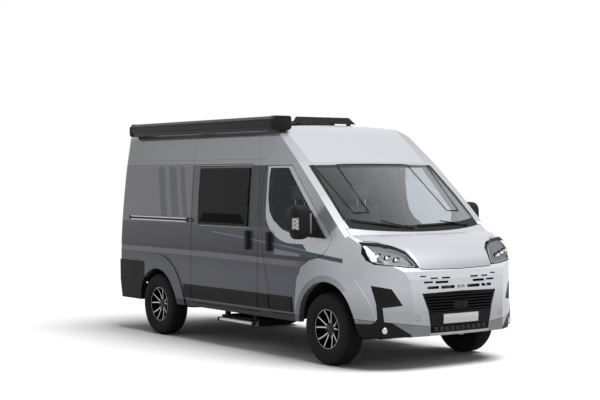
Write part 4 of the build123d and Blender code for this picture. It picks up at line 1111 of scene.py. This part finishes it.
fog_spot, fog_normal = from_front(nose_skin, FOG["y"], FOG["z"])
fog_normal = (fog_normal + Vector((1.2, 0, 0))).normalized()
fog_glass = Finish("fog lamp glass", (0.62, 0.65, 0.66), 0.1, 0.6, Coat_Weight=0.6)
fog_glass.vary(fog_glass.noise(90.0, 1.0), 0.2, 0.05, (0.45, 0.47, 0.48), (0.80, 0.82, 0.83))
fog_lamps = facing_out(DOME, FOG["radius"], fog_spot, fog_normal)
add_piece("fog_lamps", fog_lamps, fog_glass)
add_piece("fog_lamp_rings", facing_out(FOG_RING, FOG["radius"], fog_spot, fog_normal), gloss_black)
w, h = SENSOR["wide"] / 2, SENSOR["high"] / 2
sensor_outline = [on_nose(nose_skin, SENSOR["y"] + a * w, SENSOR["z"] + b * h, 0.0010) for a, b in SQUARE]
sensor_lines = both_sides(swept(sensor_outline, circle(0.0016, 6), closed=True))
add_piece("sensor_covers", sensor_lines, plastic("shut line grey", (0.10, 0.10, 0.11)))
print("fog lamp at", [round(v, 3) for v in fog_spot])

# %% Grille backing, ribs, sensor cover and lower blocks
grille_skin = surface_of("grille")
GRILLE_BACK = [
    (-0.49, 0.772), (0.49, 0.772), (0.425, 0.600), (0.398, 0.448), (0.392, 0.380), (-0.392, 0.380),
    (-0.398, 0.448), (-0.425, 0.600),
]
INTAKE_LIP_END = [(-0.432, 0.596), (-0.406, 0.452)]
grille_x = on_nose(grille_skin, 0.0, 0.52, 0.0).x


def behind_grille(low, high, radius, steps):
    """A block whose x is measured from the grille's face."""
    return rounded_block((grille_x + low[0], *low[1:]), (grille_x + high[0], *high[1:]), radius, steps)


matt_black = plastic("matt black backing", (0.004, 0.004, 0.004), 0.9)
sensor_black = plastic("sensor cover", (0.012, 0.012, 0.013), 0.35)
tooth_grey = plastic("intake blocks", (0.040, 0.040, 0.042), 0.5)
add_piece("grille_backing", prism(GRILLE_BACK, 0.004, Y, Z, X, (grille_x - 0.085, 0, 0)), matt_black)
sensor = behind_grille((-0.030, -0.095, 0.604), (-0.004, 0.095, 0.676), 0.008, 3)
add_piece("sensor_block", sensor, sensor_black)
rib = behind_grille((-0.034, -0.362, 0.592), (-0.022, -0.354, 0.766), 0.002, 1)
add_piece("grille_ribs", in_row.grow(rib, matt_black, Count=9, Step=(0.0, 0.0895, 0.0)), matt_black)
tooth = behind_grille((-0.036, -0.348, 0.388), (-0.010, -0.300, 0.432), 0.004, 2)
teeth = in_row.grow(tooth, tooth_grey, Count=10, Step=(0.0, 0.072, 0.0))
add_piece("intake_blocks", teeth, tooth_grey)
bumper_skin = surface_of("front_bumper")
lip_route = INTAKE_LIP_END + [(-0.40 + 0.08 * i, 0.3655) for i in range(11)]
lip_route += [(-y, z) for y, z in reversed(INTAKE_LIP_END)]
lip = swept([on_nose(bumper_skin, y, z, 0.001) for y, z in lip_route], circle(0.003, 8))
add_piece("intake_bright_line", lip, silver_paint)
print("grille ribs and blocks made")

# %% [markdown]
# ## Door mirrors
# A mirror head is a soft box: its section is a superellipse, and rings of that section
# shrink towards the front. The arms and posts fold with the head.

# %% Mirror sizes
MIRROR = {"x": (1.4975, 1.6300), "y": (1.088, 1.287), "z": (1.293, 1.650)}
MIRROR_PIVOT = (1.5535, 1.046)
MIRROR_ARMS = (1.372, 1.540)
# shares: how far forward, and the section's size there
MIRROR_RINGS = [
    (0.10, 0.90), (0.02, 0.95), (0.0, 0.985), (0.06, 1.0), (0.40, 1.0), (0.66, 0.955),
    (0.84, 0.86), (0.95, 0.70), (1.0, 0.42),
]
MIRROR_PANE = {"centre": (1.5115, 1.1875, 1.4715), "wide": 0.083, "high": 0.155, "deep": 0.002}
PANE_OUTLINE = [
    (-1, -0.94), (-0.88, -1), (0.88, -1), (1, -0.94), (1, 0.94), (0.88, 1), (-0.88, 1), (-1, 0.94),
]
REPEATER = {"x": (1.552, 1.6235), "z": (1.398, 1.516), "steps": 10}


def soft_box(x_range, y_range, z_range, rings, power=3.6, count=48):
    """Rings of a superellipse along x, closed at both ends."""
    middle = [sum(r) / 2 for r in (y_range, z_range)]
    half = [(r[1] - r[0]) / 2 for r in (y_range, z_range)]
    points = []
    for forward, size in rings:
        x = x_range[0] + (x_range[1] - x_range[0]) * forward
        for i in range(count):
            a = 2 * math.pi * i / count
            c, w = math.cos(a), math.sin(a)
            y = middle[0] + half[0] * size * math.copysign(abs(c) ** (2 / power), c)
            z = middle[1] + half[1] * size * math.copysign(abs(w) ** (2 / power), w)
            points.append((x, y, z))
    faces = [(a, d, c, b) for a, b, c, d in lattice(len(rings), count)]
    return from_points(points, faces + end_faces(len(rings), count))


def side_grid(tree, x_range, z_range, steps, lift):
    """A patch on the outer side of a shape, found by rays along y."""
    points, faces = [], []
    for i in range(steps + 1):
        for j in range(steps + 1):
            x = x_range[0] + (x_range[1] - x_range[0]) * i / steps
            z = z_range[0] + (z_range[1] - z_range[0]) * j / steps
            points.append(tuple(on_side(tree, x, z, 1, lift)))
    row = steps + 1
    for i in range(steps):
        for j in range(i * row, i * row + steps):
            faces.append((j, j + row, j + row + 1, j + 1))
    return from_points(points, faces)


# %% Mirror pieces on both doors
head = soft_box(MIRROR["x"], MIRROR["y"], MIRROR["z"], MIRROR_RINGS)
pivot_x, pivot_y = MIRROR_PIVOT
arms = []
for z in MIRROR_ARMS:
    low, high = (pivot_x - 0.019, pivot_y - 0.013, z - 0.0135), (pivot_x + 0.019, 1.112, z + 0.0135)
    arms.append(rounded_block(low, high, 0.006, 2))
    post = [(pivot_x, pivot_y, z - 0.027), (pivot_x, pivot_y, z - 0.0105)]
    arms.append(swept(post, circle(0.0135, 20), up=X))
strut = rounded_block((1.5745, 1.064, 1.352), (1.5900, 1.0860, 1.562), 0.005, 2)
mirror_black = joined([head] + arms)
pane_outline = [(u * MIRROR_PANE["wide"], v * MIRROR_PANE["high"]) for u, v in PANE_OUTLINE]
mirror_glass = prism(pane_outline, MIRROR_PANE["deep"], Y, Z, (-1, 0, 0), MIRROR_PANE["centre"])
head_corners = [v.co.copy() for v in head.vertices]
head_tree = BVHTree.FromPolygons(head_corners, [tuple(f.vertices) for f in head.polygons])
repeater = side_grid(head_tree, REPEATER["x"], REPEATER["z"], REPEATER["steps"], 0.0008)

indicator = Finish("indicator cover", (0.80, 0.81, 0.82), 0.25, Coat_Weight=0.6)
_, across, up = indicator.xyz()
bulbs = ((abs(across) * 210.0).math("SINE") * (up * 160.0).math("SINE")).above(0.55, 0.2)
indicator.set(Base_Color=indicator.mix(bulbs, (0.80, 0.81, 0.82), (0.05, 0.05, 0.055)))
mirror_silver = Finish("mirror glass", (0.82, 0.83, 0.84), 0.03, 1.0)
mirror_silver.vary(mirror_silver.noise(4.0), 0.02, 0.01)
strut_grey = plastic("mirror strut", (0.30, 0.30, 0.31), 0.5)
for side, sign in SIDES.items():
    body = "mirror_" + side
    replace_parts(add_piece("mirror_head_" + side, moved(mirror_black, side=sign), black_plastic, body), body)
    add_piece("mirror_pane_" + side, moved(mirror_glass, side=sign), mirror_silver, body)
    add_piece("mirror_strut_" + side, moved(strut, side=sign), strut_grey, body)
    add_piece("mirror_indicator_" + side, moved(repeater, side=sign), indicator, body)
print("mirror head points:", len(head.vertices))

# %% [markdown]
# ## Flank trim
# The sliding door runs in a rail with two bright strips. The awning's cassette has end
# caps and a lead rail, and the camper windows sit in black frames.

# %% Sliding rail
RAIL = {"x": (-2.355, -0.985), "z": (1.4085, 1.4445), "y": -1.0225}
strips = []
for z in RAIL["z"]:
    low = (RAIL["x"][0], RAIL["y"] - 0.0055, z - 0.0065)
    high = (RAIL["x"][1], RAIL["y"] + 0.001, z + 0.0065)
    strips.append(rounded_block(low, high, 0.0015, 1))
rail_bright = Finish("rail aluminium", (0.86, 0.86, 0.87), 0.3, 0.3)
drawn = rail_bright.noise(50.0, 3.0, 0.5, rail_bright.stretched(0.05, 8.0, 8.0))
rail_bright.vary(drawn, 0.2, 0.2, (0.78, 0.78, 0.79), (0.90, 0.90, 0.91))
add_piece("sliding_rail_strips", joined(strips), rail_bright)
cap_starts = (-2.3705, -0.9635)
rail_caps = [rounded_block((x, -1.030, 1.398), (x + 0.036, -1.022, 1.454), 0.003, 1) for x in cap_starts]
add_piece("sliding_rail_caps", joined(rail_caps), black_plastic)
print("rail length:", round(RAIL["x"][1] - RAIL["x"][0], 3))

# %% Awning caps and lead rail
AWNING_X = (-2.402, 0.800)
CAP_SECTION = [
    (-1.0035, 2.470), (-0.985, 2.445), (-0.800, 2.4425), (-0.757, 2.470), (-0.757, 2.585),
    (-0.775, 2.6045), (-0.965, 2.6045), (-1.0035, 2.560),
]
# where each cap starts, and how long it is
AWNING_CAPS = [(AWNING_X[0] - 0.003, 0.052), (AWNING_X[1] - 0.088, 0.092)]
caps = joined([prism(CAP_SECTION, wide, Y, Z, X, (x, 0, 0), 0.004) for x, wide in AWNING_CAPS])
add_piece("awning_caps", caps, plastic("awning cap", (0.014, 0.014, 0.014), 0.5))
awning_skin = surface_of("awning")
lead = []
for z, size in ((2.487, 0.0016), (2.552, 0.0012)):
    spot = on_side(awning_skin, 0.0, z, -1, 0.0004)
    ends = [(x, spot.y, spot.z) for x in (AWNING_X[0] + 0.05, AWNING_X[1] - 0.09)]
    lead.append(swept(ends, circle(size, 6)))
add_piece("awning_lead_rail", joined(lead), matt_black)
print("awning caps at", AWNING_X)

# %% Window frames
WINDOWS = {
    "sliding door": (-0.744, 0.310, 1.388, 2.037, -1),
    "kitchen": (-0.250, 0.450, 1.450, 1.990, 1),
    "bedroom": (-2.350, -1.500, 1.480, 1.990, 1),
}
FRAME = {"corner": 0.035, "inset": 0.012, "proud": 0.0015, "half": 0.006, "sunk": -0.001}
panes = surface_of("camper_windows")


def rounded_corners(x0, x1, y0, y1, inset, radius, steps):
    """Points round a rectangle; each corner turns about a centre set in from both edges."""
    right, left, top, foot = x1 - inset, x0 + inset, y1 - inset, y0 + inset
    points = []
    for x, y, start in ((right, top, 0), (left, top, 90), (left, foot, 180), (right, foot, 270)):
        for i in range(steps + 1):
            angle = math.radians(start + 90 * i / steps)
            points.append((x + radius * math.cos(angle), y + radius * math.sin(angle)))
    return points


def window_frame(x0, x1, z0, z1, side):
    """A flat rounded band just inside a pane's edge."""
    points = []
    bend = FRAME["corner"] - FRAME["inset"]
    for x, z in rounded_corners(x0, x1, z0, z1, FRAME["corner"], bend, 4):
        spot, _ = from_side(panes, x, z, side)
        points.append((x, spot.y + side * FRAME["proud"], z))
    half, sunk, proud = FRAME["half"], FRAME["sunk"], FRAME["proud"]
    section = [(-half, sunk), (half, sunk), (half, proud), (-half, proud)]
    return swept(points, section, closed=True, up=(0, side, 0))


window_frames = joined([window_frame(*row) for row in WINDOWS.values()])
add_piece("window_frames", window_frames, gloss_black, smooth=30.0)
door_skin = surface_of("sliding_door")
ledge = [on_side(door_skin, -0.72 + 0.05 * i, 1.372, -1, 0.0005) for i in range(21)]
add_piece("window_drip_line", swept(ledge, circle(0.0022, 6)), rail_bright)
print("window frames:", len(WINDOWS))

# %% [markdown]
# ## Seats and cushions
# Foam under cloth has crowned sides and soft edges. Each pad starts as rounded blocks,
# is remeshed evenly, and is blown up by a short cloth simulation. A cap on how far a
# point moves keeps the pad inside its own space.


# %% Stuffing a pad
BLOW_FRAMES = 20


def stuffed(shape, voxel=0.010, rise=0.014):
    """Blow a block up as cloth; rise is the furthest that a point may move."""
    scene = bpy.context.scene
    pad = bpy.data.objects.new("pad", shape)
    scene.collection.objects.link(pad)
    remesh = pad.modifiers.new("even", "REMESH")
    remesh.mode = "VOXEL"
    remesh.voxel_size = voxel
    pad.data = baked(pad)
    start = [vert.co.copy() for vert in pad.data.vertices]
    blow = pad.modifiers.new("blow", "CLOTH")
    blow.settings.quality = 4
    blow.settings.use_pressure = True
    blow.settings.uniform_pressure_force = 4.0
    blow.settings.effector_weights.gravity = 0.0
    blow.point_cache.frame_start, blow.point_cache.frame_end = 1, BLOW_FRAMES
    for frame_number in range(1, BLOW_FRAMES + 1):
        scene.frame_set(frame_number)
    pad.data = baked(pad)
    scene.frame_set(1)
    for vert, before in zip(pad.data.vertices, start):
        move = vert.co - before
        if move.length > rise:
            vert.co = before + move * (rise / move.length)
    mesh = pad.data
    bpy.data.objects.remove(pad)
    return mesh


def baked(piece):
    """The mesh after its modifiers, which are then taken off."""
    depsgraph = bpy.context.evaluated_depsgraph_get()
    mesh = bpy.data.meshes.new_from_object(piece.evaluated_get(depsgraph), depsgraph=depsgraph)
    piece.modifiers.clear()
    return mesh


def lay(name, mesh, finish):
    piece = add_piece(name, mesh, finish, "body", 80.0)
    finer = piece.modifiers.new("finer", "SUBSURF")
    finer.levels = finer.render_levels = 1
    return piece


# %% Seat sizes
SEAT = {"y": 0.440, "half": 0.225, "centre": 0.150, "gap": 0.014}
CUSHION = {"x": (0.668, 1.156), "z": (0.922, 1.012)}
# back pad from its foot, seen from the side: (x, z)
BACK = [(0.668, 1.040), (0.722, 1.040), (0.572, 1.612), (0.508, 1.612)]
HEAD_REST = {"x": (0.470, 0.530), "y": 0.112, "z": (1.676, 1.844)}
SINK = 0.020


def seen_aside(outline, y0, y1):
    """Extrude an (x, z) outline between two y planes."""
    return prism(outline, y1 - y0, X, Z, Y, (0, y0, 0), 0.012)


def seat_parts():
    """Centre and two bolsters of the cushion and of the back, for the left seat."""
    low, high = SEAT["y"] - SEAT["half"], SEAT["y"] + SEAT["half"]
    inner, outer = SEAT["y"] - SEAT["centre"], SEAT["y"] + SEAT["centre"]
    bolsters = ((low, inner - SEAT["gap"]), (outer + SEAT["gap"], high))
    (x0, x1), (z0, z1) = CUSHION["x"], CUSHION["z"]
    flat = [rounded_block((x0, inner, z0), (x1, outer, z1 - SINK), 0.020)]
    flat += [rounded_block((x0, a, z0), (x1, b, z1), 0.020) for a, b in bolsters]
    sunk = [(x - (SINK if i in (1, 2) else 0.0), z) for i, (x, z) in enumerate(BACK)]
    back = [seen_aside(sunk, inner, outer)] + [seen_aside(BACK, a, b) for a, b in bolsters]
    return joined(flat), joined(back)


# %% Cab seats
flat, back = seat_parts()
hx, hz = HEAD_REST["x"], HEAD_REST["z"]
low, high = (hx[0], SEAT["y"] - HEAD_REST["y"], hz[0]), (hx[1], SEAT["y"] + HEAD_REST["y"], hz[1])
pads = {
    "seat_cushion": stuffed(flat),
    "seat_back": stuffed(back),
    "head_rest": stuffed(rounded_block(low, high, 0.018), voxel=0.008),
}
# a seat's box and the plate on it, from the seat's middle: low and high corner, rounding
BASES = [
    ((0.702, -0.188, 0.5605), (1.078, 0.188, 0.905), 0.012),
    ((0.655, -0.235, 0.902), (1.150, 0.235, 0.922), 0.008),
]
bases, stems = [], []
for side, sign in SIDES.items():
    y = SEAT["y"] * sign
    for (x0, y0, z0), (x1, y1, z1), radius in BASES:
        bases.append(rounded_block((x0, y + y0, z0), (x1, y + y1, z1), radius, 2))
    for stem_y in (y - 0.06, y + 0.06):
        stems.append(swept([(0.500, stem_y, 1.700), (0.520, stem_y, 1.600)], circle(0.006, 10)))
    for name, mesh in pads.items():
        lay(name + "_" + side, moved(mesh, side=sign), seat_cloth)
base_plastic = plastic("seat base", (0.03, 0.03, 0.032))
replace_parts(add_piece("seat_bases", joined(bases), base_plastic), "cab_seats")
add_piece("head_rest_stems", joined(stems), chrome)
print("points in a seat back:", len(pads["seat_back"].vertices))

# %% Bed and bench cushions
BED = ((-2.516, 0.018, 1.036), (-1.094, 0.856, 1.127))
BENCH = ((-0.138, 0.340, 0.963), (0.238, 0.860, 1.038))
BENCH_BACK = ((-0.156, 0.340, 1.066), (-0.086, 0.860, 1.548))
bed_pad = stuffed(rounded_block(*BED, 0.025), voxel=0.016, rise=0.012)
for side, sign in SIDES.items():
    bed_piece = lay("bed_cushion_" + side, moved(bed_pad, side=sign), bed_cloth)
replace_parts(bed_piece, "cushions")
for name, size in (("bench_cushion", BENCH), ("bench_back", BENCH_BACK)):
    lay(name, stuffed(rounded_block(*size, 0.018), rise=0.010), bed_cloth)
print("points in the bed pad:", len(bed_pad.vertices))

# %% [markdown]
# ## Small things outside
# Seals, wiper arms, skylight frames, the step's tube and what the back of the van needs.

# %% Windscreen gasket and wiper arms
SCREEN = [
    (-0.885, 1.440), (-0.826, 2.052), (-0.790, 2.066), (0.0, 2.071), (0.790, 2.066),
    (0.826, 2.052), (0.885, 1.440),
]
screen_skin = surface_of("windscreen")
gasket_path = []
for (y0, z0), (y1, z1) in zip(SCREEN, SCREEN[1:]):
    for k in range(8):
        gasket_path.append(on_nose(screen_skin, y0 + (y1 - y0) * k / 8, z0 + (z1 - z0) * k / 8, 0.0012))
gasket = swept(gasket_path, [(a * 2.2, b) for a, b in circle(0.0035, 8)], up=X)
add_piece("windscreen_gasket", gasket, soft_black)
# (y, x) of each arm's pivot, its bend and the middle of its blade
ARMS = [
    [(-0.16, 2.128), (-0.22, 2.118), (-0.52, 2.040)],
    [(0.66, 2.060), (0.60, 2.066), (0.26, 2.085)],
]
ARM_LIFT = 0.012
cowl_skin = surface_of("scuttle_panel", "windscreen")
arm_meshes = []
for arm in ARMS:
    route = []
    for k, (y, x) in enumerate(arm):
        top, _ = ray(cowl_skin, (x, y, ABOVE), (0, 0, -1))
        route.append(Vector((x, y, top.z + ARM_LIFT + 0.006 * k)))
    arm_meshes.append(swept(route, [(a * 1.6, b) for a, b in circle(0.006, 8)]))
    pivot = [route[0] - Vector((0, 0, ARM_LIFT)), route[0] + Vector((0, 0, 0.010))]
    arm_meshes.append(swept(pivot, circle(0.014, 16), up=X))
add_piece("wiper_arms", joined(arm_meshes), black_plastic)
print("gasket points:", len(gasket.vertices))

# %% Skylight frames
SKYLIGHTS = [(-0.425, 0.265, 0.246), (-2.095, -1.705, 0.195)]
SKYLIGHT_Z = 2.541
skylight_section = [(-0.010, -0.008), (0.010, -0.008), (0.010, 0.006), (-0.010, 0.006)]
skylight_frames = []
for x0, x1, half in SKYLIGHTS:
    corners = rounded_corners(x0, x1, -half, half, 0.05, 0.062, 3)
    skylight_frames.append(swept([(x, y, SKYLIGHT_Z) for x, y in corners], skylight_section, closed=True))
add_piece("skylight_frames", joined(skylight_frames), gloss_black)
print("skylights:", len(SKYLIGHTS))

# %% Step tube and end blocks
STEP = {"x": (-0.327, 0.405), "y": -0.990, "z": 0.307}
tube_ends = [(x, STEP["y"] + 0.004, STEP["z"]) for x in (STEP["x"][0] + 0.03, STEP["x"][1] - 0.03)]
add_piece("step_tube", swept(tube_ends, circle(0.018, 20)), rail_bright, "entry_step")
ends = []
for x in (STEP["x"][0], STEP["x"][1] - 0.034):
    low, high = (x, STEP["y"] - 0.017, 0.2865), (x + 0.034, STEP["y"] + 0.045, 0.3275)
    ends.append(rounded_block(low, high, 0.006, 2))
add_piece("step_ends", joined(ends), black_plastic, "entry_step")
grip = rounded_block((-0.280, -0.950, 0.3268), (-0.262, -0.640, 0.3295), 0.0008, 1)
grips = in_row.grow(grip, matt_black, Count=17, Step=(0.040, 0.0, 0.0))
add_piece("step_grips", grips, matt_black, "entry_step")
print("step tube length:", round(STEP["x"][1] - STEP["x"][0], 3))

# %% Back of the van: seals, handle, high brake light
# where each rear pane starts and ends along y
REAR_PANES = {"right": (-0.775, -0.110), "left": (0.110, 0.775)}
REAR_PANE_Z = (1.400, 2.010)
for side, (y0, y1) in REAR_PANES.items():
    skin = surface_of("rear_door_" + side, "rear_glass_" + side)
    z0, z1 = REAR_PANE_Z
    route = []
    for y, z in spaced([(y0, z0), (y1, z0), (y1, z1), (y0, z1)], 0.06):
        route.append(from_behind(skin, y, z)[0] + Vector((-0.0015, 0, 0)))
    window_seal = swept(route, circle(0.006, 8), closed=True, up=X)
    add_piece("rear_window_seal_" + side, window_seal, soft_black, "rear_door_" + side)
pull, _ = from_behind(surface_of("rear_door_right"), -0.085, 1.12)
handle = joined([
    rounded_block((pull.x - 0.018, -0.150, 1.095), (pull.x + 0.001, -0.030, 1.150), 0.008, 3),
    rounded_block((pull.x - 0.010, -0.165, 1.080), (pull.x + 0.001, -0.018, 1.165), 0.004, 2),
])
add_piece("rear_handle", handle, black_plastic, "rear_door_right")
back, _ = from_behind(surface_of("roof_panel", "rear_door_right", "rear_door_left"), 0.0, 2.43)
brake = rounded_block((back.x - 0.012, -0.14, 2.418), (back.x + 0.002, 0.14, 2.442), 0.004, 2)
add_piece("high_brake_light", brake, tail)
print("rear handle at x", round(pull.x, 3), "brake light at x", round(back.x, 3))

# %% [markdown]
# ## Studio
# A product picture stands in a white room. The floor takes a soft shadow, and both the
# floor and the world look white to the camera without lighting the van more.

# %% Floor
AMBIENT = 0.22
PAPER = 1.10
FLOOR_SIZE = 400.0
# besides the camera's own rays, those that show the room in a mirror or through glass
DIRECT_RAYS = ("Is Glossy Ray", "Is Transmission Ray")
floor_mesh = bpy.data.meshes.new("studio_floor")
floor_mesh.from_pydata([(a * FLOOR_SIZE, b * FLOOR_SIZE, 0) for a, b in SQUARE], [], [(0, 1, 2, 3)])
floor = bpy.data.objects.new("studio_floor", floor_mesh)
bpy.context.scene.collection.objects.link(floor)

floor_finish = Finish("studio floor", (0.30, 0.30, 0.30), 0.95)
seen = floor_finish.node("ShaderNodeLightPath", {}, {}, "Is Camera Ray")
path = seen.socket.node.outputs
for kind in DIRECT_RAYS:
    seen = seen.larger(Wave(floor_finish, path[kind]))
# seen directly, the floor is so pale that only the shadow is less than white
pale = floor_finish.node("ShaderNodeBsdfDiffuse", {}, {"Color": (PAPER, PAPER, PAPER, 1.0)})
floor_finish.show(floor_finish.blend(seen, floor_finish.own(), pale))
floor_mesh.materials.append(floor_finish.material)
print("floor", 2 * FLOOR_SIZE, "m wide")

# %% World
world = bpy.data.worlds.new("studio")
bpy.context.scene.world = world
world.use_nodes = True
web = world.node_tree
background = web.nodes["Background"]
background.inputs["Color"].default_value = (1.0, 1.0, 1.0, 1.0)
rays = web.nodes.new("ShaderNodeLightPath")
strength = rays.outputs["Is Camera Ray"]
for kind in DIRECT_RAYS:
    larger = web.nodes.new("ShaderNodeMath")
    larger.operation = "MAXIMUM"
    web.links.new(strength, larger.inputs[0])
    web.links.new(rays.outputs[kind], larger.inputs[1])
    strength = larger.outputs[0]
level = web.nodes.new("ShaderNodeMix")
level.inputs[2].default_value = AMBIENT
level.inputs[3].default_value = 1.0
web.links.new(strength, level.inputs[0])
web.links.new(level.outputs[0], background.inputs["Strength"])
print("ambient light:", AMBIENT)


# %% Lights
def wide_sun(name, towards, strength, angle):
    """An even, soft light from one side of the sky, the same over the whole floor."""
    lamp = bpy.data.lights.new(name, "SUN")
    lamp.energy = strength * math.pi
    lamp.angle = math.radians(angle)
    sun = bpy.data.objects.new(name, lamp)
    sun.rotation_euler = Vector(towards).to_track_quat("Z", "Y").to_euler()
    bpy.context.scene.collection.objects.link(sun)
    print(name, "strength", strength)


wide_sun("sky light", (0.36, 0.15, 0.92), 0.86, 40.0)

# %% Camera
YAW = 2.51638
PITCH = -0.018587
ROLL = 0.002348
LENS, SENSOR_WIDTH = 81.83, 36.0
CAMERA_PLACE = (12.9409, -9.4071, 1.9613)
camera_data = bpy.data.cameras.new("camera")
camera_data.lens = LENS
camera_data.sensor_width = SENSOR_WIDTH
camera = bpy.data.objects.new("camera", camera_data)
camera.location = CAMERA_PLACE
look = Vector((math.cos(PITCH) * math.cos(YAW), math.cos(PITCH) * math.sin(YAW), math.sin(PITCH)))
aim = look.to_track_quat("-Z", "Y").to_matrix() @ Matrix.Rotation(-ROLL, 3, "Z")
camera.rotation_euler = aim.to_euler()
bpy.context.scene.collection.objects.link(camera)
bpy.context.scene.camera = camera
bpy.context.scene.view_settings.view_transform = "Standard"
print("camera at", CAMERA_PLACE)
